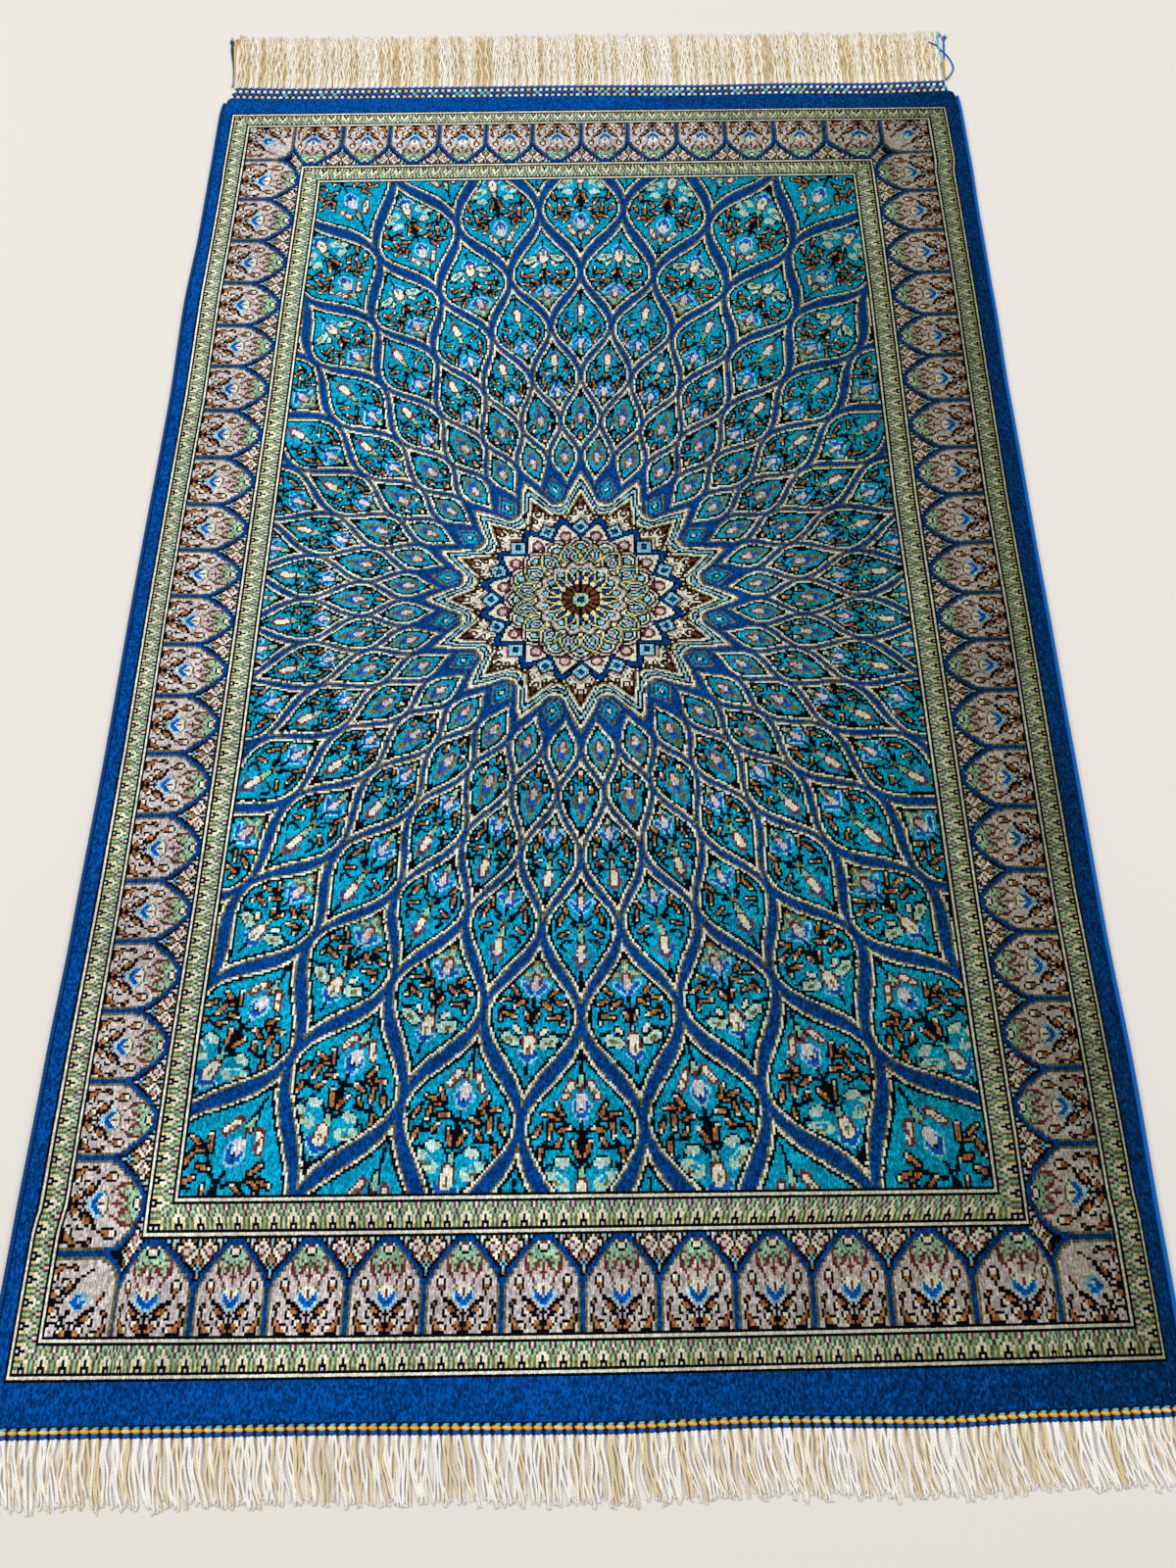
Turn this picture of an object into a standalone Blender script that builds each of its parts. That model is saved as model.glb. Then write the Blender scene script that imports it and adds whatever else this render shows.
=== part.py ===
"""A small hand-knotted silk rug, lying flat with its fringes spread.

Metres, +Z up. +Y runs along the rug to its far end and +X across it. All
shapes are worked out about the centre of the woven border, then moved so that
the origin is under the middle of the whole rug, on the floor.
"""
import math

import bmesh
import bpy

# The knotted body and what is parted from it
PILE_HEIGHT = 0.0042
PILE_EDGE_ROUND = 0.0012
PILE_FOOT_ROUND = 0.0004
CORNER_RADIUS = 0.005
PART_GAP = 0.0003
EDGE_STEP = 0.015

# Outer long edges, selvedge included: how far along, and the two edges there
LONG_EDGES = [
    # along,   left,    right
    (-0.4843, -0.3020, 0.3000),
    (-0.3944, -0.3014, 0.3005),
    (-0.3091, -0.3005, 0.3016),
    (-0.2320, -0.2990, 0.3005),
    (-0.1160, -0.2981, 0.3016),
    (0.0000, -0.2986, 0.3025),
    (0.1549, -0.2979, 0.3039),
    (0.2552, -0.3000, 0.3060),
    (0.3248, -0.2983, 0.3069),
    (0.4019, -0.2986, 0.3086),
    (0.4565, -0.2990, 0.3090),
    (0.4795, -0.2974, 0.3082),
]

# Short ends of the pile: how far across, and the two ends there
SHORT_ENDS = [
    # across,  near,    far
    (-0.3032, -0.4835, 0.4748),
    (-0.2320, -0.4826, 0.4731),
    (-0.1160, -0.4814, 0.4736),
    (0.0000, -0.4814, 0.4742),
    (0.0928, -0.4787, 0.4733),
    (0.1701, -0.4791, 0.4747),
    (0.2320, -0.4764, 0.4739),
    (0.3093, -0.4740, 0.4765),
]

# Overcast selvedges
SELVEDGE_WIDTH = 0.0032
SELVEDGE_HEIGHT = 0.0034
SELVEDGE_SCALLOP = 0.00015
SELVEDGE_STATIONS = 70
SELVEDGE_SECTION = [
    # across, height, as shares of half the width and of the height
    (-0.70, 0.00),
    (0.70, 0.00),
    (1.00, 0.45),
    (0.55, 1.00),
    (-0.55, 1.00),
    (-1.00, 0.45),
]

# Twined end bands: rows of raised cord across the rug
BAND_BASE_HEIGHT = 0.0014
BAND_ROW_HEIGHT = 0.0026
BAND_STATIONS = 58
FAR_BAND = {"rows": 4, "depth": 0.0150, "inner": (-0.2935, 0.3010), "outer": (-0.2900, 0.2981)}
NEAR_BAND = {"rows": 3, "depth": 0.0056, "inner": (-0.2955, 0.2940), "outer": (-0.2952, 0.2937)}

# Fringe: locks of warp ends on a narrow root strip. lean is how far the tips
# stray across at the left, in the middle and at the right.
LOCK_COUNT = 116
LOCK_WIDTH = 0.0034
LOCK_HEIGHT = 0.0016
LOCK_TIP_SCALE = 0.62
LOCK_SEGMENTS = 4
STRIP_DEPTH = 0.0024
FAR_FRINGE = {"length": 0.0590, "short_right": 0.0046, "uneven": 0.0028, "wave": 0.0008,
              "lean": (-0.0060, -0.0024, 0.0036)}
NEAR_FRINGE = {"length": 0.0252, "short_right": 0.0006, "uneven": 0.0012, "wave": 0.0003,
               "lean": (0.0062, 0.0002, 0.0058)}

# Loose twining yarns at the far corners. Each yarn's points are measured from
# the middle of its knot: across (outwards is positive) and along.
TAIL_KNOT = (0.0036, 0.0032, 0.0020)
TAIL_WIDTH = 0.0011
LEFT_TAILS = [
    [(0.0000, 0.016), (0.0017, 0.031), (0.0040, 0.047), (0.0075, 0.063)],
    [(0.0016, 0.016), (0.0048, 0.031), (0.0086, 0.044), (0.0108, 0.056)],
]
RIGHT_TAILS = [
    [(-0.0002, 0.016), (0.0018, 0.031), (0.0034, 0.044), (0.0052, 0.057)],
    [(0.0022, 0.014), (0.0044, 0.028), (0.0076, 0.041), (0.0116, 0.052)],
    [(0.0070, 0.009), (0.0104, 0.018), (0.0116, 0.027), (0.0106, 0.034)],
]


def table_value(rows, column, at):
    """Column of a table at a place between its rows, eased so that it has no corners."""
    at = min(max(at, rows[0][0]), rows[-1][0])
    for low, high in zip(rows, rows[1:]):
        if at <= high[0]:
            share = (at - low[0]) / (high[0] - low[0])
            eased = share * share * (3.0 - 2.0 * share)
            return low[column] + (high[column] - low[column]) * eased
    return rows[-1][column]


def left_edge(along):
    return table_value(LONG_EDGES, 1, along)


def right_edge(along):
    return table_value(LONG_EDGES, 2, along)


def near_end(across):
    return table_value(SHORT_ENDS, 1, across)


def far_end(across):
    return table_value(SHORT_ENDS, 2, across)


def steps_between(start, stop, spacing):
    """Evenly spread numbers from start to stop, about one spacing apart."""
    count = max(2, round(abs(stop - start) / spacing))
    return [start + (stop - start) * i / count for i in range(count + 1)]


def rounded(corner, before, after, radius, points=4):
    """A quarter arc that takes the place of a corner, between its two neighbours."""
    def toward(other):
        reach = math.dist(corner, other)
        return [(o - c) / reach for c, o in zip(corner, other)]

    into, out = toward(before), toward(after)
    centre = [c + radius * (i + o) for c, i, o in zip(corner, into, out)]
    arc = []
    for k in range(points + 1):
        turn = math.pi / 2 * k / points
        arc.append(tuple(m - radius * (o * math.cos(turn) + i * math.sin(turn))
                         for m, i, o in zip(centre, into, out)))
    return arc


def pile_outline():
    """The pile's outline, anticlockwise, with the four corners rounded."""
    inset = SELVEDGE_WIDTH + PART_GAP
    near_far = (LONG_EDGES[0][0], LONG_EDGES[-1][0])
    lefts = [left_edge(y) + inset for y in near_far]
    rights = [right_edge(y) - inset for y in near_far]
    corners = [(lefts[0], near_end(lefts[0])), (rights[0], near_end(rights[0])),
               (rights[1], far_end(rights[1])), (lefts[1], far_end(lefts[1]))]
    sides = []
    for start, stop in zip(corners, corners[1:] + corners[:1]):
        if abs(stop[0] - start[0]) > abs(stop[1] - start[1]):
            end_line = near_end if stop[0] > start[0] else far_end
            places = steps_between(start[0], stop[0], EDGE_STEP)
            sides.append([(x, end_line(x)) for x in places])
        else:
            places = steps_between(start[1], stop[1], EDGE_STEP)
            if stop[1] > start[1]:
                sides.append([(right_edge(y) - inset, y) for y in places])
            else:
                sides.append([(left_edge(y) + inset, y) for y in places])
    outline = []
    for side, following in zip(sides, sides[1:] + sides[:1]):
        outline += side[1:-1]
        outline += rounded(side[-1], side[-2], following[1], CORNER_RADIUS)
    return outline


def inset_outline(outline, distance):
    """The outline moved inwards along its own normals."""
    moved = []
    for i, point in enumerate(outline):
        before, after = outline[i - 1], outline[(i + 1) % len(outline)]
        run_x, run_y = after[0] - before[0], after[1] - before[1]
        reach = math.hypot(run_x, run_y)
        moved.append((point[0] - distance * run_y / reach, point[1] + distance * run_x / reach))
    return moved


def material(name, colour, roughness):
    """One yarn: a Principled material with its colour and roughness."""
    made = bpy.data.materials.new(name)
    made.use_nodes = True
    shader = made.node_tree.nodes["Principled BSDF"]
    shader.inputs["Base Color"].default_value = (*colour, 1.0)
    shader.inputs["Roughness"].default_value = roughness
    shader.inputs["Metallic"].default_value = 0.0
    made.diffuse_color = (*colour, 1.0)
    return made


def add_object(name, mesh_builder, yarn):
    """Turn a finished bmesh into one named object with one material."""
    bmesh.ops.recalc_face_normals(mesh_builder, faces=mesh_builder.faces)
    mesh = bpy.data.meshes.new(name)
    mesh_builder.to_mesh(mesh)
    mesh_builder.free()
    mesh.materials.append(yarn)
    made = bpy.data.objects.new(name, mesh)
    bpy.context.scene.collection.objects.link(made)
    return made


def loft(rings):
    """A closed body through rings of equally many points, with a cap on each end ring."""
    body = bmesh.new()
    rows = [[body.verts.new(point) for point in ring] for ring in rings]
    for lower, upper in zip(rows, rows[1:]):
        for i in range(len(lower)):
            body.faces.new((lower[i - 1], lower[i], upper[i], upper[i - 1]))
    body.faces.new(rows[0])
    body.faces.new(rows[-1])
    return body


def make_pile(yarn):
    """The knotted body: a flat slab with its sheared edge rounded over."""
    outline = pile_outline()
    layers = [(PILE_FOOT_ROUND, 0.0), (0.0, PILE_FOOT_ROUND),
              (0.0, PILE_HEIGHT - PILE_EDGE_ROUND),
              (0.3 * PILE_EDGE_ROUND, PILE_HEIGHT - 0.3 * PILE_EDGE_ROUND),
              (PILE_EDGE_ROUND, PILE_HEIGHT)]
    rings = [[(x, y, z) for x, y in inset_outline(outline, inset)] for inset, z in layers]
    return add_object("pile", loft(rings), yarn)


def make_selvedge(name, side, yarn):
    """An overcast edge cord: flat below, round above, slightly scalloped by its wraps.

    side is -1 on the left and 1 on the right.
    """
    edge = left_edge if side < 0 else right_edge
    inset = SELVEDGE_WIDTH + PART_GAP
    start = near_end(edge(LONG_EDGES[0][0]) - side * inset) + CORNER_RADIUS
    stop = far_end(edge(LONG_EDGES[-1][0]) - side * inset) - CORNER_RADIUS
    rings = []
    for k in range(SELVEDGE_STATIONS + 1):
        along = start + (stop - start) * k / SELVEDGE_STATIONS
        taper = 0.7 if k in (0, SELVEDGE_STATIONS) else 1.0
        half_width = 0.5 * SELVEDGE_WIDTH * taper - SELVEDGE_SCALLOP * (k % 2)
        middle = edge(along) - side * 0.5 * SELVEDGE_WIDTH
        rings.append([(middle + half_width * out, along, SELVEDGE_HEIGHT * taper * up)
                      for out, up in SELVEDGE_SECTION])
    return add_object(name, loft(rings), yarn)


def band_profile(row_count, depth):
    """Section of a twined band, (outwards, height): one ridge for each row of twining."""
    profile = [(0.0, 0.0), (0.0, BAND_BASE_HEIGHT)]
    row_depth = depth / row_count
    for row in range(row_count):
        start = row * row_depth
        profile += [(start + 0.25 * row_depth, BAND_ROW_HEIGHT),
                    (start + 0.75 * row_depth, BAND_ROW_HEIGHT),
                    (start + row_depth, BAND_BASE_HEIGHT)]
    profile.append((depth, 0.0))
    return profile


def make_band(name, band, end_line, outwards, yarn):
    """A twined band that follows the pile's end; outwards is 1 at the far end, -1 near."""
    profile = band_profile(band["rows"], band["depth"])
    rings = []
    for k in range(BAND_STATIONS + 1):
        share = k / BAND_STATIONS
        ring = []
        for out, height in profile:
            ends = [inner + (outer - inner) * out / band["depth"]
                    for inner, outer in zip(band["inner"], band["outer"])]
            across = ends[0] + (ends[1] - ends[0]) * share
            ring.append((across, end_line(across) + outwards * (PART_GAP + out), height))
        rings.append(ring)
    return add_object(name, loft(rings), yarn)


def comb(strip, locks):
    """A root strip with three-sided locks standing out of its outer face, as one body.

    strip is a row of (across, inner along, outer along), one for each lock. A
    lock is its list of (across, along, width, height), the first at the strip.
    """
    body = bmesh.new()

    def vert(x, y, z):
        return body.verts.new((x, y, z))

    def section(x, y, width, height):
        return (vert(x - width / 2, y, 0.0), vert(x + width / 2, y, 0.0), vert(x, y, height))

    inner_low = [vert(x, inner, 0.0) for x, inner, _ in strip]
    inner_top = [vert(x, inner, locks[0][0][3]) for x, inner, _ in strip]
    roots = [section(*lock[0]) for lock in locks]
    for i, (root, lock) in enumerate(zip(roots, locks)):
        body.faces.new((inner_low[i], root[0], root[1]))
        previous = root
        for station in lock[1:]:
            ring = section(*station)
            for a in range(3):
                body.faces.new((previous[a - 1], previous[a], ring[a], ring[a - 1]))
            previous = ring
        body.faces.new(previous)
    for i in range(len(strip) - 1):
        left, right = roots[i], roots[i + 1]
        body.faces.new((inner_top[i], inner_top[i + 1], right[2], left[2]))
        body.faces.new((inner_low[i], inner_low[i + 1], inner_top[i + 1], inner_top[i]))
        body.faces.new((left[1], right[0], inner_low[i + 1], inner_low[i]))
        body.faces.new((left[2], right[2], right[0], left[1]))
    first, last = roots[0], roots[-1]
    body.faces.new((inner_low[0], inner_top[0], first[2], first[0]))
    body.faces.new((inner_low[-1], inner_top[-1], last[2], last[1]))
    return body


def three_point(values, share):
    """The parabola through a left, a middle and a right value, at a share of the way."""
    left, middle, right = values
    slope, bow = right - left, left + right - 2.0 * middle
    centred = 2.0 * share - 1.0
    return middle + 0.5 * slope * centred + 0.5 * bow * centred * centred


def make_fringe(name, fringe, band, end_line, outwards, yarn):
    """Warp ends in uneven, leaning locks that lie flat on the floor."""
    inner_out = band["depth"] + 2 * PART_GAP
    first = band["outer"][0] + LOCK_WIDTH / 2
    last = band["outer"][1] - LOCK_WIDTH / 2
    strip, locks = [], []
    for i in range(LOCK_COUNT):
        share = i / (LOCK_COUNT - 1)
        across = first + (last - first) * share
        inner = end_line(across) + outwards * inner_out
        outer = inner + outwards * STRIP_DEPTH
        strip.append((across, inner, outer))
        uneven = math.sin(1.9 * i) * 0.6 + math.sin(0.37 * i + 1.0) * 0.4
        length = fringe["length"] - fringe["short_right"] * share + fringe["uneven"] * uneven
        lean = three_point(fringe["lean"], share) + fringe["wave"] * math.sin(0.55 * i)
        lock = []
        for k in range(LOCK_SEGMENTS + 1):
            out = k / LOCK_SEGMENTS
            sway = fringe["wave"] * math.sin(math.pi * out) * math.sin(0.21 * i + 0.8)
            scale = 1.0 + (LOCK_TIP_SCALE - 1.0) * out
            lock.append((across + lean * out * out + sway, outer + outwards * length * out,
                         LOCK_WIDTH * scale, LOCK_HEIGHT * scale))
        locks.append(lock)
    return add_object(name, comb(strip, locks), yarn)


def make_tails(name, tails, side, yarn):
    """The band's loose yarn ends at a far corner, fanning out of one small knot."""
    width, depth, height = TAIL_KNOT
    knot_across = FAR_BAND["outer"][0 if side < 0 else 1] + side * (width / 2 + 2 * PART_GAP)
    inner = far_end(knot_across) + FAR_BAND["depth"] - depth / 2
    ordered = sorted(tails, key=lambda tail: side * tail[0][0])
    spacing = width / len(ordered)
    strip, locks = [], []
    for i, tail in enumerate(ordered):
        across = knot_across + spacing * (i - (len(ordered) - 1) / 2)
        strip.append((across, inner, inner + depth))
        lock = [(across, inner + depth, min(spacing, TAIL_WIDTH), height)]
        for out, along in tail:
            lock.append((knot_across + side * out, inner + depth + along,
                         TAIL_WIDTH, TAIL_WIDTH))
        locks.append(lock)
    return add_object(name, comb(strip, locks), yarn)


def centre_on_floor(objects):
    """Move every mesh so that the origin is under the middle of the whole rug."""
    points = [vertex.co for made in objects for vertex in made.data.vertices]
    middle_x = (min(p.x for p in points) + max(p.x for p in points)) / 2
    middle_y = (min(p.y for p in points) + max(p.y for p in points)) / 2
    for made in objects:
        for vertex in made.data.vertices:
            vertex.co.x -= middle_x
            vertex.co.y -= middle_y


def build():
    for old in list(bpy.data.objects):
        bpy.data.objects.remove(old, do_unlink=True)

    pile_silk = material("pile_silk", (0.004, 0.095, 0.300), 0.55)
    edge_silk = material("edge_silk", (0.010, 0.075, 0.300), 0.50)
    band_yarn = material("band_yarn", (0.110, 0.210, 0.400), 0.60)
    warp_cotton = material("warp_cotton", (0.800, 0.730, 0.600), 0.75)
    tail_silk = material("tail_silk", (0.060, 0.200, 0.400), 0.55)

    centre_on_floor([
        make_pile(pile_silk),
        make_selvedge("selvedge_left", -1, edge_silk),
        make_selvedge("selvedge_right", 1, edge_silk),
        make_band("end_band_far", FAR_BAND, far_end, 1, band_yarn),
        make_band("end_band_near", NEAR_BAND, near_end, -1, band_yarn),
        make_fringe("fringe_far", FAR_FRINGE, FAR_BAND, far_end, 1, warp_cotton),
        make_fringe("fringe_near", NEAR_FRINGE, NEAR_BAND, near_end, -1, warp_cotton),
        make_tails("yarn_tails_left", LEFT_TAILS, -1, tail_silk),
        make_tails("yarn_tails_right", RIGHT_TAILS, 1, tail_silk),
    ])


build()
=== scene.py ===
import bpy
import numpy as np
from mathutils import Euler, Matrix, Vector


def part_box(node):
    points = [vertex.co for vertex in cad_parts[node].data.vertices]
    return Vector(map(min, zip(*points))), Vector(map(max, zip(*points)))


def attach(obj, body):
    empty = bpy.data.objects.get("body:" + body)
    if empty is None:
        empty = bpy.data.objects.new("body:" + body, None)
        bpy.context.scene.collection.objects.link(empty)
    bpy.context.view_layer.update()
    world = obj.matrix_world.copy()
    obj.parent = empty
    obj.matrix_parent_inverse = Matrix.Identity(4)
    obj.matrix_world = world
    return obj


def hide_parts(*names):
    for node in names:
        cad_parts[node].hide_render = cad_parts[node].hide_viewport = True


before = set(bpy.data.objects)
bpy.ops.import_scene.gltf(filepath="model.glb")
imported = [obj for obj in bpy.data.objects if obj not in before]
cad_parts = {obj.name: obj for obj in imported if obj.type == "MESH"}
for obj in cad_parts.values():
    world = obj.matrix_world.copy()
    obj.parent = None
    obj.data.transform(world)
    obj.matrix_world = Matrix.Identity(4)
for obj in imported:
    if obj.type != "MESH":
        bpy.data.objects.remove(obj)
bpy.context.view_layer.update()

# ---------------------------------------------------------------- the view
# The rug lies on a pale floor and is looked down on from its near end, with
# its near corners just outside the picture. Every measure of the weave is
# taken from the middle of the woven border, which this point puts in the frame.
pile_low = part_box("pile")[0]
border_middle = np.array([pile_low[0] + 0.29848, pile_low[1] + 0.48344])
CAMERA_OVER_BORDER = (0.00511, -0.41168, 0.63794)
CAMERA_TURN = (23.138, 0.3996, -0.1770)
CAMERA_LENS = 25.99
CAMERA_SENSOR = 36.0

scene = bpy.context.scene
camera_data = bpy.data.cameras.new("camera")
camera_data.sensor_fit = "VERTICAL"
camera_data.sensor_height = CAMERA_SENSOR
camera_data.lens = CAMERA_LENS
camera_data.clip_start = 0.01
camera = bpy.data.objects.new("camera", camera_data)
camera.location = (border_middle[0] + CAMERA_OVER_BORDER[0],
                   border_middle[1] + CAMERA_OVER_BORDER[1], CAMERA_OVER_BORDER[2])
camera.rotation_euler = Euler(np.radians(CAMERA_TURN), "XYZ")
scene.collection.objects.link(camera)
scene.camera = camera
scene.view_settings.view_transform = "Standard"


def soft_light(name, place, size, power, colour):
    """A square softbox that faces the middle of the rug."""
    light = bpy.data.lights.new(name, "AREA")
    light.size = size
    light.energy = power
    light.color = colour
    lamp = bpy.data.objects.new(name, light)
    lamp.location = place
    lamp.rotation_euler = (-Vector(place)).to_track_quat("-Z", "Y").to_euler()
    scene.collection.objects.link(lamp)


soft_light("window_left", (-2.0, 0.5, 2.8), 2.4, 80.0, (1.0, 0.99, 0.97))
soft_light("fill_right", (2.2, 0.3, 2.8), 2.4, 62.0, (1.0, 0.99, 0.98))
world = bpy.data.worlds.new("room")
scene.world = world
world.use_nodes = True
world.node_tree.nodes["Background"].inputs["Color"].default_value = (1.0, 0.985, 0.96, 1.0)
world.node_tree.nodes["Background"].inputs["Strength"].default_value = 0.25


# --------------------------------------------------------------- the floor
# A plain matt off-white floor, which stands for the table or studio paper
# under the rug and isn't part of it.
def new_material(name):
    """A named material, its node tree and its Principled shader."""
    made = bpy.data.materials.new(name)
    made.use_nodes = True
    return made, made.node_tree, made.node_tree.nodes["Principled BSDF"]


def set_inputs(node, **values):
    """Set a node's own sockets, named with underscores for spaces."""
    for key, value in values.items():
        node.inputs[key.replace("_", " ")].default_value = value


def mesh_piece(name, points, faces, material, body="root"):
    """One piece from an array of points and an array of four-cornered faces."""
    mesh = bpy.data.meshes.new(name)
    points = np.asarray(points, dtype=np.float32).reshape(-1, 3)
    faces = np.asarray(faces, dtype=np.int32).reshape(-1, 4)
    mesh.vertices.add(len(points))
    mesh.vertices.foreach_set("co", points.ravel())
    mesh.loops.add(faces.size)
    mesh.loops.foreach_set("vertex_index", faces.ravel())
    mesh.polygons.add(len(faces))
    mesh.polygons.foreach_set("loop_start", np.arange(0, faces.size, 4, dtype=np.int32))
    mesh.update(calc_edges=True)
    mesh.polygons.foreach_set("use_smooth", np.ones(len(faces), dtype=bool))
    mesh.materials.append(material)
    made = bpy.data.objects.new(name, mesh)
    scene.collection.objects.link(made)
    if body:
        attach(made, body)
    return made


floor_paint, _, floor_shader = new_material("floor_paint")
set_inputs(floor_shader, Base_Color=(0.79, 0.765, 0.72, 1.0), Roughness=0.9)
floor = mesh_piece("floor", [(-4, -4, 0), (4, -4, 0), (4, 4, 0), (-4, 4, 0)], [(0, 1, 2, 3)],
                   floor_paint, body=None)


# ---------------------------------------------------------- the knotted pile
# A one-piece body of silk tied knot by knot on its warps, row by row, and
# sheared flat: a blue ground, a border of domed niches between two toothed
# guards, and a field of rays and domes round a sixteen-point star.
RUG = 0.58
KNOT = RUG / 463
FAR_ROW, NEAR_ROW = -374, 377
LEFT_COLUMN, RIGHT_COLUMN = -236, 239

SILKS = {
    # letter: name, colour as seen
    "n": ("border_blue", (0, 71, 150)),
    "t": ("turquoise", (0, 160, 202)),
    "d": ("band_blue", (0, 64, 138)),
    "b": ("flower_blue", (6, 88, 188)),
    "c": ("cream", (238, 239, 218)),
    "o": ("olive", (114, 108, 64)),
    "m": ("mint", (150, 198, 166)),
    "u": ("rust", (172, 112, 66)),
    "r": ("maroon", (108, 46, 48)),
    "g": ("pink_grey", (206, 196, 194)),
    "k": ("black", (6, 8, 18)),
    "l": ("light_blue", (140, 208, 232)),
    "y": ("straw", (224, 214, 156)),
    "p": ("pale_mint", (184, 222, 206)),
    "z": ("brown", (112, 60, 28)),
    "w": ("white", (218, 216, 220)),
}
LETTERS = "".join(SILKS)


def ink(letter):
    """A silk's number from its letter."""
    return LETTERS.index(letter)


def hand_chart(rows):
    """A chart given as letters, as an array of silks."""
    return np.array([[ink(letter) for letter in row] for row in rows])


# Half of one tooth of a guard, from its inner side outwards
TOOTH = hand_chart(["ommrw", "comrw", "commr", "ccomr", "kccom", "kcyom", "kkyom", "wkyom", "wkcom"])

# Half of one niche of the border, from its inner side outwards; the first
# letter of a line is the niche's middle and the last is the divider
NICHE = hand_chart([
    "ddddklkwlkukckukl", "dddddkkwkkkccckkl", "rrcdddkukccrrccku", "cckmodddkcrgggrck",
    "cckmmodddkrggrcck", "kkmmmmodddkrrccku", "mmmmmrroddkrcckuu", "rmmrmmmroddkkckul",
    "mrrmmumrgoddkkukl", "omrromrrggoddkklk", "rgrrmmrrggodddkkl", "rggrrmrrggggoddkl",
    "rrgggrrgggggoddku", "rggggrgggkkggoddk", "rgggrgggkcckggodd", "ggggrgggkcckggodd",
    "ooogggggkuukggodd", "cccoggggkuukgggod", "rcccogggkukggggod", "rccblggggkgggggod",
    "rcbblggggkgggggod", "lbbblggkkggggggod", "bbblgkkkkggkkggod", "bblgkkkggggkukgod",
    "llgkkuukggggkkgod", "kgkkuuuckgggkggod", "kkgkkkcckgggkggod", "kgkkkggkkgggukgod",
    "kgkcckgggggkukgod", "kkuuckggkkkuukgod", "kkuukggkccuukggod", "kuukgggkcuuukggod",
    "kkkgggggkkkkkggod"])


def strokes(across, along, table, scale_across, scale_along, paint):
    """Lay tapered strokes of silk: a knot takes a stroke's silk where it lies
    nearer to the stroke's line than its half width there."""
    for letter, a0, s0, a1, s1, wide0, wide1 in table:
        start = np.array([a0 * scale_across, s0 * scale_along])
        run = np.array([a1 * scale_across, s1 * scale_along]) - start
        reach = max(run @ run, 1e-9)
        share = np.clip(((across - start[0]) * run[0] + (along - start[1]) * run[1]) / reach, 0, 1)
        away = np.hypot(across - start[0] - share * run[0], along - start[1] - share * run[1])
        paint[away <= wide0 + (wide1 - wide0) * share] = ink(letter)


def leaf(a0, s0, a1, s1, wide=0.7):
    """A rust leaf outlined in black, with a cream tip at its second end."""
    return [("k", a0, s0, a1, s1, wide + 1.1, wide + 0.9), ("u", a0, s0, a1, s1, wide, wide),
            ("c", a1, s1, a1, s1, wide, wide)]


def line(*points, wide=0.75):
    """A black scroll through its points."""
    return [("k", a[0], a[1], b[0], b[1], wide, wide) for a, b in zip(points, points[1:])]


# Half of the flower stem in a large dome of the field, in knots across its
# middle line and along it from the inner tip
LARGE_STEM = (
    line((0, 3.5), (0, 9), wide=0.7)
    + [("o", 0, 6.6, 0, 10, 1.8, 2.2), ("o", 0, 10.6, 5.4, 11.8, 1.7, 1.2),
       ("m", 0, 7.2, 0, 10, 1.0, 1.4),
       ("m", 0, 10.6, 5.0, 11.6, 1.0, 0.6), ("l", 0, 20.6, 5.6, 15.6, 1.9, 1.5),
       ("b", 0, 19.8, 4.8, 16.2, 1.5, 1.0),
       ("r", 0, 12.4, 0, 14.6, 2.2, 2.8), ("g", 0, 13.2, 0, 17.2, 1.4, 1.9),
       ("l", 0, 18.6, 0, 20.4, 0.5, 0.5)]
    + line((0, 22), (0, 26))
    + line((1.3, 27.3), (4.6, 24.5), (8, 23), wide=0.8)
    + leaf(4.2, 23.6, 8.2, 26.3)
    + leaf(7.4, 20.5, 10.3, 17.2)
    + leaf(10.6, 22.9, 14.4, 23.9)
    + line((13.2, 26.5), (13.2, 28))
    + leaf(13.3, 28.5, 14, 32.3)
    + leaf(12.4, 29.3, 7.5, 30.5)
    + line((14.5, 36.9), (12.5, 37.3), (10, 36))
    + [("k", 6.2, 41.5, 10.4, 39.8, 2.6, 2.9), ("p", 6.2, 41.5, 10.4, 39.8, 1.9, 2.2),
       ("o", 8.0, 41.2, 10.0, 40.2, 0.8, 0.8),
       ("k", 5.2, 37.2, 6.8, 35.4, 1.6, 1.6), ("c", 5.2, 37.2, 6.8, 35.4, 0.9, 0.9)]
    + leaf(1, 31.8, 2.8, 28.9)
    + [("k", 0, 28, 0, 33.5, 0.9, 1.1), ("k", 0, 34.0, 0, 39.9, 1.2, 2.4),
       ("m", 0, 34.6, 0, 39.5, 0.6, 1.6),
       ("r", 0, 40.2, 0, 45.6, 3.2, 3.2), ("c", 0, 40.4, 0, 45.2, 2.2, 2.3),
       ("o", 0, 43, 0, 46, 0.6, 0.6),
       ("l", 0, 49.4, 3.6, 46.0, 1.5, 1.2), ("b", 0, 48.8, 3.2, 46.2, 1.1, 0.8)]
    + line((0, 50.5), (0, 54.5), wide=0.7)
)

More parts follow.
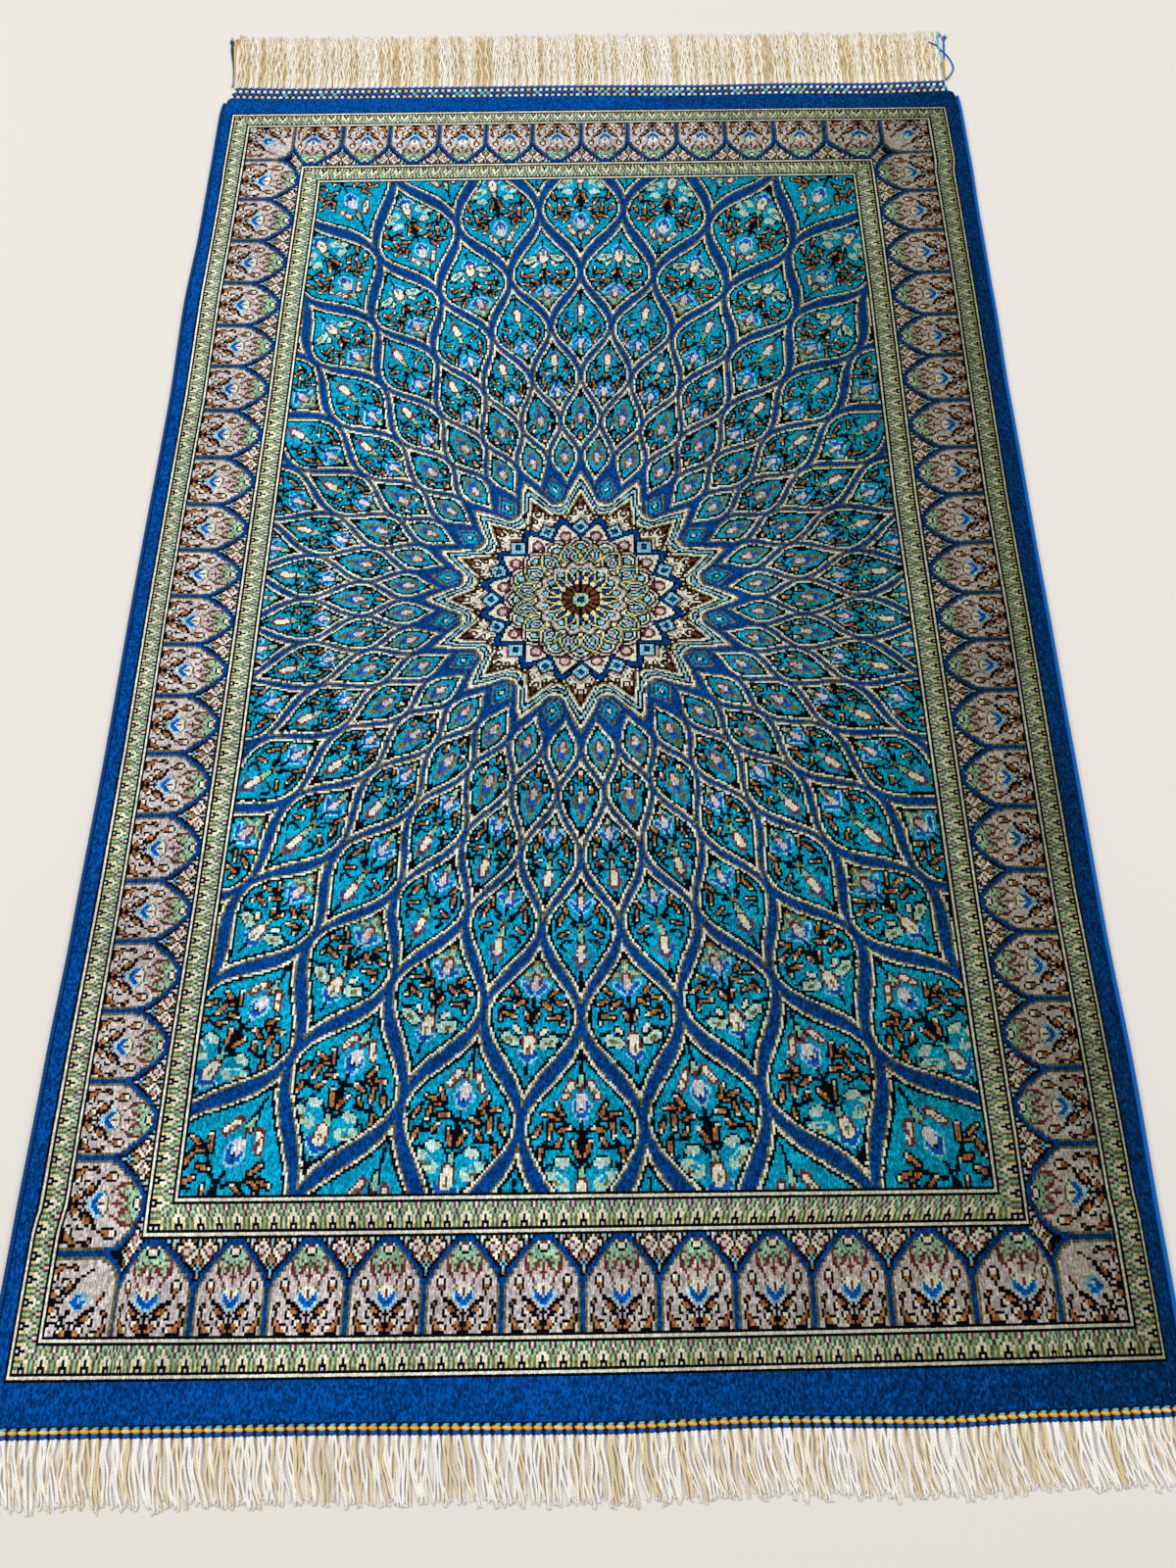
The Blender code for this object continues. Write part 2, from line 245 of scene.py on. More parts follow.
MIDDLE_STEM = (
    line((0, 3), (0, 6))
    + [("k", 0, 6.2, 0, 9.4, 1.3, 2.2), ("m", 0, 6.6, 0, 9.2, 0.7, 1.4),
       ("r", 0, 10.6, 0, 13.6, 1.6, 2.2), ("w", 0, 10.8, 0, 13.6, 0.7, 1.3),
       ("l", 0, 17.6, 5.0, 12.8, 1.7, 1.4), ("b", 0, 17.0, 4.3, 13.4, 1.3, 0.9),
       ("w", 0, 11.4, 0, 15.0, 0.8, 1.5)]
    + line((0, 18.4), (0, 22))
    + line((2, 22.2), (5.7, 19))
    + line((0.9, 24.4), (3.2, 23.3), (4.1, 22.5))
    + leaf(6.4, 17.7, 8, 14.2, 0.6)
    + leaf(8.2, 18.7, 9.6, 22.9, 0.6)
    + leaf(9.1, 27.9, 5.7, 26.2, 0.6)
    + line((11, 25.3), (10.5, 20))
    + line((3.9, 30), (7.3, 29.9), (8.7, 31.6), (7.1, 33.8))
    + [("o", 0, 24.6, 0, 26.2, 1.4, 1.6), ("k", 0, 26.6, 0, 31.6, 1.4, 2.2),
       ("m", 0, 27.0, 0, 31.2, 0.8, 1.5),
       ("o", 0, 40.9, 3.5, 36, 1.2, 1.1), ("b", 0, 39.6, 3.0, 36.4, 1.3, 0.9),
       ("r", 0, 32.6, 0, 37.8, 2.4, 2.2), ("c", 0, 32.8, 0, 37.4, 1.5, 1.4)]
    + line((0, 42.3), (0, 46.2))
)

SMALL_STEM = (
    [("o", 0, 17.0, 0, 24.5, 4.0, 0.7), ("b", 0, 17.8, 0, 21.0, 2.3, 0.9),
     ("r", 0, 12.6, 0, 14.6, 1.3, 2.0), ("g", 0, 14.0, 0, 16.8, 0.9, 1.5)]
    + line((0, 26.5), (0, 31))
)
SMALL_LEAVES = (
    leaf(0, 8.4, 0, 6.0, 0.8) + leaf(4.2, 13.6, 4.0, 11.6, 0.8)
    + line((1.5, 10.4), (4.0, 9.4), wide=0.65) + line((5.4, 16.5), (5.0, 20.5), wide=0.65)
)

OUTER_STEM = (
    line((0, 3.5), (0, 9.5), wide=0.7)
    + [("k", 0, 10, 0, 15, 1.4, 2.2), ("m", 0, 10.9, 0, 15, 0.7, 1.5), ("r", 0, 16, 0, 19.5, 1.0, 0.6),
       ("r", 3.8, 14.4, 6.6, 20.0, 2.1, 1.9), ("c", 4.0, 15, 6.6, 19.6, 1.1, 1.0),
       ("o", 5, 17, 5.8, 18.4, 0.5, 0.5),
       ("l", 0, 24.4, 0, 26.4, 4.6, 3.2), ("b", 0, 24.6, 0, 26.4, 3.5, 2.2),
       ("w", 0, 20.8, 0, 24.0, 2.4, 1.9),
       ("k", 0, 24.8, 0, 25.4, 0.7, 0.7)]
    + line((0, 30.4), (0, 34))
    + line((1.5, 34.4), (6, 31), (8.7, 28), wide=0.9)
    + leaf(8.7, 28.5, 12.2, 29.5)
    + leaf(7.6, 27.2, 9.8, 22.8, 0.75)
    + leaf(11.4, 27.4, 15.2, 26.6)
    + leaf(12.2, 31.0, 12.8, 36.0, 0.8)
    + leaf(8.4, 33.4, 4.6, 32.4, 0.75)
    + line((15.6, 30.0), (16.4, 32.6), wide=0.9)
    + leaf(16.8, 32.4, 18.6, 35.6)
    + line((14.4, 38.2), (15.2, 40.6), wide=1.1)
    + leaf(15.8, 40.6, 16.8, 45.2, 0.75)
    + [("k", 0, 34.6, 0, 37, 0.6, 1.8), ("k", 0, 37, 0, 45.8, 1.8, 1.0)]
    + leaf(1.4, 43.6, 3.6, 37.8, 0.8)
    + line((7.6, 40.6), (14.2, 40.0), wide=0.8)
    + leaf(10.0, 39.4, 7.8, 36.8)
    + line((1.2, 48.2), (5.2, 44.2), (9.6, 43.4), (11.8, 47.0), (11.4, 49.4))
    + line((13.2, 46.2), (15.6, 48.6))
    + [("p", 6.4, 45.2, 9.4, 45.4, 1.6, 1.6), ("w", 7.8, 46.6, 7.8, 47.2, 1.0, 0.8),
       ("p", 6.6, 53.4, 11.4, 51.6, 2.2, 3.2), ("t", 7.4, 52.2, 9.6, 50.6, 0.7, 0.8),
       ("o", 8.8, 53.2, 10.8, 52.2, 0.7, 0.8),
       ("k", 0, 47.4, 0, 52.6, 1.3, 2.4), ("m", 0, 47.6, 0, 52.4, 0.7, 1.7),
       ("r", 0, 54.2, 0, 58.0, 3.1, 3.3), ("c", 0, 54.2, 0, 58.6, 2.1, 2.3),
       ("o", 0, 56.4, 0, 58.6, 0.7, 0.6),
       ("l", 0, 64.0, 4.4, 59.6, 1.2, 1.2), ("b", 0, 62.6, 3.9, 59.8, 1.4, 1.0)]
    + line((0, 65.5), (0, 68.5), wide=0.7)
)

# The lattice's rings of thirty-two domes, from the star outwards: where the
# ring's domes are widest, in knots from the star's middle, its stem, and the
# stem's own length and half width in knots. The domes of one ring stand
# between those of the next.
DOME_RINGS = [
    (67.0, None, None),
    (89.5, SMALL_STEM, (33.0, 8.5)),
    (111.6, SMALL_STEM + SMALL_LEAVES, (33.0, 8.5)),
    (140.0, MIDDLE_STEM, (51.5, 15.5)),
    (175.0, MIDDLE_STEM, (51.5, 15.5)),
    (214.6, LARGE_STEM, (63.0, 20.5)),
    (258.2, OUTER_STEM, (71.5, 23.0)),
    (309.8, OUTER_STEM, (71.5, 23.0)),
    (375.0, None, None),
]
DOME_PITCH = 2 * np.pi / 32


def dome_field(x, y):
    """Silks of the field's lattice of blue bands. From one ring's widest place
    to the next a band's middle line swings by half a dome, as half a cosine
    wave, so the bands meet and part again at every ring. A dome is what lies
    between two bands. x and y are knots from the star's middle."""
    paint = np.full(x.shape, ink("d"))
    rho, turn = np.hypot(x, y), np.arctan2(y, x)
    for ring in range(1, len(DOME_RINGS) - 1):
        inner, widest, outer = (DOME_RINGS[ring + step][0] for step in (-1, 0, 1))
        reach = np.interp(widest, [110, 215], [0.17, 0.0])
        inner, outer = inner - reach * (widest - inner), outer + reach * (outer - widest)
        stem, (stem_length, stem_half) = DOME_RINGS[ring][1:]
        offset = 0.5 * (ring % 2)
        away = turn - (np.rint(turn / DOME_PITCH - offset) + offset) * DOME_PITCH
        span = np.where(rho < widest, widest - inner, outer - widest)
        share = np.clip(np.abs(rho - widest) / span, 0, 1)
        wave = DOME_PITCH / 4 * (1 + np.cos(np.pi * share))
        slope = DOME_PITCH / 4 * np.pi * np.sin(np.pi * share) * rho / span
        band = (np.interp(widest, [89.5, 111.6, 175, 310], [1.2, 0.8, 1.4, 1.7]) * (1 - share ** 2)
                + 0.5 * share ** 2
                + np.interp(rho, [100, 180, 310], [1.1, 1.1, 1.5]) * np.sin(np.pi * share) ** 2)
        depth = rho * (wave - np.abs(away)) / np.hypot(1, slope) - band
        inside = (depth > 0) & (rho > inner) & (rho < outer)
        near = depth[inside]
        here = np.select([near < 0.7, near < 1.5, near < 2.8], [ink("o"), ink("c"), ink("k")], ink("t"))
        deep = near >= 2.4
        stem_paint = here[deep]
        inner_tip, outer_tip = inner + 0.30 * (widest - inner), outer - 0.27 * (outer - widest)
        across, along = np.abs(rho * np.sin(away)), rho * np.cos(away) - inner_tip
        strokes(across[inside][deep], along[inside][deep], stem,
                (widest * DOME_PITCH / 2 - 1.5) / stem_half, (outer_tip - inner_tip) / stem_length,
                stem_paint)
        here[deep] = stem_paint
        paint[inside] = here
    return paint


def star(x, y, paint):
    """The star in the field's middle: sixteen points round a rosette, drawn
    from the outside in. p and q are knots across and along the line through a
    point; hp and hq are the same for the line halfway between two points."""
    rho, turn = np.hypot(x, y), np.arctan2(y, x)
    sector = np.pi / 8
    away = turn - np.rint(turn / sector) * sector
    p, q = np.abs(rho * np.sin(away)), rho * np.cos(away)
    half = turn - (np.floor(turn / sector) + 0.5) * sector
    hp, hq = np.abs(rho * np.sin(half)), rho * np.cos(half)

    def lay(where, measure, *layers):
        """Paint one layer over the other where the measure is below its limit."""
        for limit, letter in layers:
            paint[where & (measure < limit)] = ink(letter)

    # small lozenges in the blue between the points
    lozenge = np.abs(hq - 70) / 5.6 + hp / 3.6
    lay(hq > 62, lozenge, (1.55, "o"), (1.3, "d"), (1.0, "t"), (0.52, "k"), (0.28, "w"))

    # the outline: olive, cream, black, light blue, black, cream, olive, black, then cream
    edge = np.interp(p, [0, 1.9, 6.2, 7.7, 9.5, 12.5], [79, 75.9, 67.5, 63, 60.8, 60])
    out = (q - edge) / np.hypot(1, np.where(p < 7.7, 1.75, 0.6))
    lay(rho < 82, out, (1.0, "o"), (0, "c"), (-1.2, "k"), (-2.3, "l"), (-3.4, "k"), (-4.5, "c"),
        (-5.7, "o"), (-6.5, "k"), (-7.7, "c"))
    inner = out < -5
    drops = [("k", 0, 58.2, 0, 64.8, 2.1, 1.1), ("z", 0, 59.4, 0, 63.2, 1.1, 0.6),
             ("c", 0, 58.2, 0, 58.4, 0.8, 0.8),
             ("k", 3.3, 54.4, 3.9, 57.4, 1.5, 1.2), ("z", 3.4, 55.0, 3.8, 57.0, 0.8, 0.6),
             ("c", 3.3, 54.4, 3.3, 54.5, 0.6, 0.6),
             ("k", 6.4, 50.8, 7.2, 53.2, 1.5, 1.2), ("z", 6.5, 51.4, 7.1, 53.0, 0.8, 0.6),
             ("c", 6.2, 50.8, 6.2, 50.9, 0.6, 0.6),
             ("k", 9.2, 47.2, 10.0, 48.6, 1.4, 1.1), ("z", 9.3, 47.6, 9.8, 48.4, 0.7, 0.6)]
    inner_paint = paint[inner]
    strokes(p[inner], q[inner], drops, 1, 1, inner_paint)
    paint[inner] = inner_paint
    diamond = np.abs(q - 46) + p
    lay(inner & (q > 46), diamond, (8.2, "o"), (7.5, "g"), (6.3, "r"), (5.6, "g"))

    # dark-blue zigzag with a light-blue diamond at each inner point
    share = np.abs(away) / (sector / 2)
    zigzag = (rho - 40.5 - 10.5 * share) / 1.64
    ring = (rho < 60) & (rho > 36)
    lay(ring, np.abs(zigzag), (1.75, "k"), (0.9, "d"))
    lay(ring, diamond, (5.6, "k"), (4.4, "l"), (2.3, "k"), (1.5, "d"))

    # straw points with a flower each, and arches under the diamonds
    inside = zigzag < -1.75
    lay(inside, zigzag, (-1.75, "c"))
    lay(inside & (rho < 40), hp, (1.6, "y"))
    lay(inside, np.hypot(hp, hq - 40.4), (3.4, "r"), (1.9, "g"))
    lay(inside & (rho < 39.6), np.hypot(p, q - 32.6),
        (7.6, "k"), (6.4, "g"), (5.3, "k"), (4.1, "c"), (3.1, "k"), (2.0, "l"))

    # teardrop petals between the arches
    width = 5.6 * np.interp(hq, [23, 24.4, 26.5, 29, 31.5, 33.8, 35.4], [.3, .7, .97, .95, .7, .3, 0],
                            left=-1, right=-1)
    lay((hq > 22.6) & (hq < 36.5), hp - width,
        (1.7, "k"), (0.6, "o"), (-0.2, "y"), (-1.1, "k"), (-2.2, "l"), (-3.2, "k"), (-4.2, "g"),
        (-5.0, "r"))

    # a pinkish ring of dots round sixteen narrow petals
    scalloped = rho + 1.3 * np.cos(16 * turn)
    lay(rho < 26, scalloped,
        (23.6, "k"), (22.4, "o"), (21.6, "g"), (19.4, "k"), (18.6, "g"), (17.6, "r"), (14.6, "k"))
    lay((rho > 17) & (rho < 21), np.abs(hp), (2.6, "g"))
    lay((rho > 16) & (rho < 24), np.hypot(hp, hq - 18.2), (2.2, "k"), (1.4, "l"))
    width = 2.5 * np.interp(q, [10.6, 12.5, 15, 17.5, 19.6], [.6, 1, .9, .6, 0], left=-1, right=-1)
    lay((rho > 10.4) & (q < 20.2), p - width, (0.8, "k"), (0, "y"), (-0.9, "k"), (-1.7, "d"))

    # the brown rosette with its green eye
    lay(rho < 12.5, np.hypot(hp, hq - 10.4), (1.4, "y"))
    lay(rho < 9.8, rho, (9.8, "k"), (9.0, "z"))
    lay((rho < 9.8) & (rho > 4), p, (0.6, "k"))
    lay(rho < 6, rho, (5.0, "k"), (4.3, "m"), (2.2, "k"), (1.5, "d"))
    return paint


def corner_panel(x, y):
    """Silks of a border corner; x and y are knots from its field corner. The
    foot of a niche stands on each outer side, the two parted by the corner's
    diagonal, with a slit flower on it and the field corner rounded off."""
    tall, wide = 28, 25
    on_end = y - tall > x - wide
    run = np.where(on_end, x, y) - 16
    row = np.where(on_end, y - tall, x - wide) + 31
    foot = NICHE[np.clip(row, 0, 32), np.clip(np.abs(run), 0, 16)]
    leafy = (row >= 13) & (run < -6) & (run > -13)
    paint = np.where((row >= 22) | leafy, foot, ink("g"))
    along, across = (x * 1.12 + y) / 1.5, np.abs(x * 1.12 - y) / 1.5
    strokes(across, along, (("g", 0, 13, 0, 25, 4.6, 4.0), ("l", 0, 20.2, 0, 22.0, 2.9, 2.7),
                            ("b", 1.3, 20.0, 1.1, 22.6, 1.0, 1.2), ("l", 0, 19.6, 0, 21.4, 0.5, 0.5),
                            ("k", 0, 26, 0, 29, 0.8, 0.8),
                            ("k", 0, 33.5, 0, 36, 2.6, 2.2), ("w", 0, 33.5, 0, 36, 1.7, 1.4),
                            ("u", 0, 34.5, 0, 35, 0.6, 0.6)), 1, 1, paint)
    rounding = 9
    inside = rounding - np.hypot(np.clip(rounding - x, 0, None), np.clip(rounding - y, 0, None))
    for limit, letter in ((1.8, "o"), (0.7, "d"), (-0.9, "k")):
        paint[inside < limit] = ink(letter)
    return paint


columns = np.arange(LEFT_COLUMN, RIGHT_COLUMN + 1)
rows = np.arange(FAR_ROW, NEAR_ROW + 1)
X, Y = np.meshgrid(columns, rows)
ax, ay = np.abs(X), np.abs(Y)
chart = np.full(X.shape, ink("n"))

# the border of niches: its first and last knots outwards from the rug's middle,
# at the sides and at the ends, and where the panels in its corners start
SIDE_NICHES, END_NICHES = (182, 217), (316, 348)
PANEL_CORNER = (192, 320)
NICHE_PITCH = 32
NICHE_DEPTH_SIDE, NICHE_DEPTH_END = 34, 31
LAST_NICHE_ROW = len(NICHE) - 1
out_x, out_y = ax - SIDE_NICHES[0], ay - END_NICHES[0]
border = ((out_x >= 0) | (out_y >= 0)) & (ax <= SIDE_NICHES[1]) & (ay <= END_NICHES[1])
on_side = (ay < PANEL_CORNER[1]) & (out_x >= 0)
run = (np.where(on_side, Y, X) % NICHE_PITCH) - NICHE_PITCH // 2
niche_row = np.where(on_side, out_x / NICHE_DEPTH_SIDE, out_y / NICHE_DEPTH_END) * LAST_NICHE_ROW
niche_row = np.clip(np.rint(niche_row), 0, LAST_NICHE_ROW).astype(int)
niche_column = np.abs(run) + ((run >= 14) & (niche_row >= 13))
chart[border] = NICHE[niche_row, niche_column][border]
corner = border & (ax >= PANEL_CORNER[0]) & (ay >= PANEL_CORNER[1])
chart[corner] = corner_panel(ax[corner] - PANEL_CORNER[0], ay[corner] - PANEL_CORNER[1])

# the two guards, each a row of teeth between cream lines
INNER_GUARD, OUTER_GUARD = (169, 303), (218, 349)
GUARD_DEPTH = 11
TOOTH_PITCH = 8
for side_line, end_line in (INNER_GUARD, OUTER_GUARD):
    out_x, out_y = ax - side_line, ay - end_line
    out = np.maximum(out_x, out_y)
    run = np.where(out_x >= out_y, Y, X)
    tooth_column = np.abs((run + TOOTH_PITCH // 2) % TOOTH_PITCH - TOOTH_PITCH // 2)
    guard = TOOTH[np.clip(out - 2, 0, len(TOOTH) - 1), tooth_column]
    guard = np.where(np.isin(out, (0, GUARD_DEPTH)), ink("c"), guard)
    guard = np.where(np.isin(out, (-1, 1, GUARD_DEPTH - 1, GUARD_DEPTH + 1)), ink("k"), guard)
    where = (out >= -1) & (out <= GUARD_DEPTH + 1)
    chart[where] = guard[where]

# the field: its middle in knots from the rug's, how far the weave stretches its
# circles across and along, and how far a knot's place wanders in the lattice
FIELD_MIDDLE = np.array([[-0.4], [-0.3]])
FIELD_STRETCH = np.array([[1.029], [1.075]])
WANDER = 0.22
field = (ax < INNER_GUARD[0] - 1) & (ay < INNER_GUARD[1] - 1)
place = np.stack([X[field], Y[field]]) - FIELD_MIDDLE
wander = np.random.default_rng(7).uniform(-WANDER, WANDER, place.shape)
chart[field] = star(*place / FIELD_STRETCH, dome_field(*(place + wander) / FIELD_STRETCH))

# Where the rows and columns of knots lie, in shares of RUG. A hand-woven rug's
# lines wander, so each row's line is given at the left, in the middle and at
# the right, and the columns' lines at several places along the rug.
ROW_LINES = np.array([
    (-360, -.784, -.786, -.787), (-349, -.7617, -.7646, -.766), (-320, -.6946, -.6975, -.6994),
    (-303, -.651, -.655, -.658), (-288, -.618, -.620, -.6244), (-256, -.5406, -.541, -.5502),
    (-224, -.4656, -.464, -.4752), (-192, -.3935, -.395, -.4035), (-160, -.3265, -.3265, -.3357),
    (-128, -.2565, -.255, -.264), (-96, -.1845, -.183, -.1922), (-64, -.116, -.112, -.1236),
    (-32, -.052, -.047, -.0551), (0, .0102, .017, .0119), (32, .0725, .076, .0723),
    (64, .1365, .137, .1352), (96, .2055, .203, .2038), (128, .2765, .272, .2715),
    (160, .348, .342, .3409), (192, .4105, .405, .4054), (224, .480, .473, .4723),
    (256, .547, .543, .5385), (288, .616, .613, .607), (303, .652, .6496, .646),
    (314, .6815, .6784, .673), (320, .6985, .693, .6869), (349, .767, .7647, .7575),
    (360, .796, .7918, .784)])
LAST_ROW = 360
ROW_LINES_AT = 0.43

LAST_COLUMN = 229
SIDE_COLUMNS = np.array([-229, -218, -180, -169, 0, 169, 180, 218, 229])
SIDE_LINES_AT = np.array([-.60, -.44, -.28, -.12, .04, .20, .36, .52, .60])
SIDE_LINES = np.array([
    (-.4926, -.4695, -.3862, -.3610, -.0040, .3675, .3940, .4789, .5033),
    (-.4938, -.4715, -.3884, -.3638, -.0040, .3678, .3929, .4775, .5011),
    (-.4913, -.4690, -.3882, -.3642, -.0040, .3657, .3912, .4742, .4985),
    (-.4919, -.4714, -.3896, -.3651, -.0040, .3639, .3890, .4716, .4954),
    (-.4921, -.4722, -.3906, -.3667, -.0040, .3658, .3905, .4730, .4954),
    (-.4908, -.4700, -.3920, -.3671, -.0040, .3669, .3918, .4707, .4936),
    (-.4916, -.4699, -.3936, -.3708, -.0040, .3681, .3930, .4695, .4921),
    (-.4944, -.4721, -.3973, -.3735, -.0038, .3703, .3956, .4720, .4949),
    (-.4953, -.4724, -.3982, -.3733, -.0036, .3719, .3968, .4728, .4958)])
# the lines at 180 are the side lines' own, so the guard's corner stays square
END_COLUMNS = np.array([-229, -218, -192, -180, *range(-160, 161, 32), 180, 192, 218, 229])
FAR_LINES = np.array([-.4934, -.4698, -.4023, -.3862, -.3338, -.2693, -.2007, -.1354, -.0709, -.0031,
                      .0614, .1299, .1969, .2646, .3348, .3940, .4122, .4817, .5072])
NEAR_LINES = np.array([-.4984, -.4763, -.4144, -.3982, -.3459, -.2814, -.2104, -.1427, -.0741, -.0023,
                       .0646, .1323, .2001, .2678, .3412, .3968, .4146, .4745, .4974])

# The rug's edges as the solids have them: along, left and right, selvedge
# included, and across, near and far
LONG_EDGES = np.array([
    (-0.4843, -0.3020, 0.3000), (-0.3944, -0.3014, 0.3005), (-0.3091, -0.3005, 0.3016),
    (-0.2320, -0.2990, 0.3005), (-0.1160, -0.2981, 0.3016), (0.0000, -0.2986, 0.3025),
    (0.1549, -0.2979, 0.3039), (0.2552, -0.3000, 0.3060), (0.3248, -0.2983, 0.3069),
    (0.4019, -0.2986, 0.3086), (0.4565, -0.2990, 0.3090), (0.4795, -0.2974, 0.3082)])
SHORT_ENDS = np.array([
    (-0.3032, -0.4835, 0.4766), (-0.2320, -0.4826, 0.4749), (-0.1160, -0.4814, 0.4754),
    (0.0000, -0.4814, 0.4760), (0.0928, -0.4787, 0.4751), (0.1701, -0.4791, 0.4765),
    (0.2320, -0.4764, 0.4757), (0.3093, -0.4740, 0.4783)])
SELVEDGE_WIDTH = 0.0032
PART_GAP = 0.0003
PILE_HEIGHT = 0.0042
EDGE_ROUND = 0.0012
FOOT_ROUND = 0.0004
CORNER_ROUND = 0.005


def ease(share):
    """A share from 0 to 1 with a soft start and stop."""
    return share * share * (3 - 2 * share)


def bowed(left, middle, right, across):
    """The parabola through three values at -1, 0 and 1 across."""
    return middle + 0.5 * (right - left) * across + 0.5 * (left + right - 2 * middle) * across ** 2


def eased(table, column, at):
    """A table's column between its rows, eased so that it has no corners."""
    at = np.clip(at, table[0, 0], table[-1, 0])
    low = np.clip(np.searchsorted(table[:, 0], at, side="right") - 1, 0, len(table) - 2)
    share = ease((at - table[low, 0]) / (table[low + 1, 0] - table[low, 0]))
    return table[low, column] * (1 - share) + table[low + 1, column] * share


def between(places, values, at):
    """Straight-line values between places, for anchor values that differ from
    point to point: values has one more last axis than at."""
    low = np.clip(np.searchsorted(places, at, side="right") - 1, 0, len(places) - 2)
    share = (at - places[low]) / (places[low + 1] - places[low])
    low_value = np.take_along_axis(values, low[..., None], -1)[..., 0]
    high_value = np.take_along_axis(values, low[..., None] + 1, -1)[..., 0]
    return low_value * (1 - share) + high_value * share


def knot_place(column, row):
    """Where a knot lies, in metres from the border's middle. Rows follow the
    measured row lines, with a parabola across; columns follow the measured
    column lines; both end on the rug's edges."""
    lines = (np.interp(row, ROW_LINES[:, 0], ROW_LINES[:, k]) for k in (1, 2, 3))
    y = -RUG * bowed(*lines, np.clip(column * KNOT / RUG / ROW_LINES_AT, -1.15, 1.15))
    x_guess = column * KNOT
    far, near = eased(SHORT_ENDS, 2, x_guess), eased(SHORT_ENDS, 1, x_guess)
    past_far = np.clip((-LAST_ROW - row) / (0.5 - FAR_ROW - LAST_ROW), 0, 1)
    past_near = np.clip((row - LAST_ROW) / (NEAR_ROW + 0.5 - LAST_ROW), 0, 1)
    y = y + past_far * (far - y) + past_near * (near - y)

    sides = np.stack([np.interp(-y / RUG, SIDE_LINES_AT, line) for line in SIDE_LINES.T], -1)
    middle_column = np.clip(column, -LAST_COLUMN, LAST_COLUMN)
    x_side = between(SIDE_COLUMNS, sides, middle_column)
    ends = np.where((row < 0)[..., None], FAR_LINES, NEAR_LINES)
    x_end = between(END_COLUMNS, ends, middle_column)
    share = ease(np.clip((np.abs(row) - INNER_GUARD[1]) / GUARD_DEPTH, 0, 1))
    x = RUG * (x_side * (1 - share) + x_end * share)
    inset = SELVEDGE_WIDTH + PART_GAP
    left, right = eased(LONG_EDGES, 1, y) + inset, eased(LONG_EDGES, 2, y) - inset
    past_left = np.clip((-LAST_COLUMN - column) / (0.5 - LEFT_COLUMN - LAST_COLUMN), 0, 1)
    past_right = np.clip((column - LAST_COLUMN) / (RIGHT_COLUMN + 0.5 - LAST_COLUMN), 0, 1)
    return x + past_left * (left - x) + past_right * (right - x), y


BLOCK = 4
bend = EDGE_ROUND * (1 - np.cos(np.radians([22.5, 45, 67.5, 90]))) / KNOT


def knot_lines(first, last):
    """Grid lines in knots: one at every block of four, and a few close to each
    end, where the sheared edge is rounded over."""
    start, stop = first - 0.5, last + 0.5
    return np.concatenate([[start], start + bend, np.arange(start + BLOCK, stop - BLOCK + 0.1, BLOCK),
                           stop - bend[::-1], [stop]])


line_columns = knot_lines(LEFT_COLUMN, RIGHT_COLUMN)
line_rows = knot_lines(FAR_ROW, NEAR_ROW)
grid_column, grid_row = np.meshgrid(line_columns, line_rows)
place_x, place_y = knot_place(grid_column, grid_row)
near_y, far_y = place_y[-1:, :], place_y[:1, :]
left_x, right_x = place_x[:, :1], place_x[:, -1:]
side_gap = np.minimum(place_x - left_x, right_x - place_x)
end_gap = np.minimum(place_y - near_y, far_y - place_y)

# round the corners: a square of the corner's radius is drawn onto a quarter disc
a = np.clip(CORNER_ROUND - side_gap, 0, None)
b = np.clip(CORNER_ROUND - end_gap, 0, None)
disc_a = a * np.sqrt(1 - b ** 2 / (2 * CORNER_ROUND ** 2))
disc_b = b * np.sqrt(1 - a ** 2 / (2 * CORNER_ROUND ** 2))
place_x = place_x + np.sign(place_x) * (disc_a - a)
place_y = place_y + np.sign(place_y) * (disc_b - b)
gap = np.where((a > 0) & (b > 0), CORNER_ROUND - np.hypot(disc_a, disc_b), np.minimum(side_gap, end_gap))
gap = np.clip(gap, 0, None)
over = np.clip(EDGE_ROUND - gap, 0, EDGE_ROUND)
top_z = PILE_HEIGHT - EDGE_ROUND + np.sqrt(EDGE_ROUND ** 2 - over ** 2)
tall, wide = place_x.shape
world_x, world_y = place_x + border_middle[0], place_y + border_middle[1]
top = np.stack([world_x, world_y, top_z], -1)

# the underside follows the same lines, its outer ring drawn in by the foot's round
toward_middle = np.stack([-np.sign(place_x), -np.sign(place_y)], -1)
foot = np.clip(FOOT_ROUND - gap, 0, None)[..., None] * toward_middle
on_end = np.zeros((tall, wide), bool)
on_end[[0, -1], :] = True
on_long = np.zeros((tall, wide), bool)
on_long[:, [0, -1]] = True
foot = foot * np.stack([on_long, on_end], -1)
under = np.stack([world_x + foot[..., 0], world_y + foot[..., 1], np.zeros((tall, wide))], -1)


def ring_of(index):
    """The outer ring of a grid of indices, once round, without repeats."""
    return np.concatenate([index[0, :-1], index[:-1, -1], index[-1, :0:-1], index[:0:-1, 0]])


top_index = np.arange(tall * wide).reshape(tall, wide)
under_index = top_index + tall * wide
rim = ring_of(top_index)
rim_points = top.reshape(-1, 3)[rim].copy()
rim_points[:, 2] = FOOT_ROUND
rim_index = np.arange(len(rim)) + 2 * tall * wide


def grid_faces(index):
    """Four-cornered faces of a grid whose rows run toward the near end, facing up."""
    return np.stack([index[1:, :-1], index[1:, 1:], index[:-1, 1:], index[:-1, :-1]], -1).reshape(-1, 4)


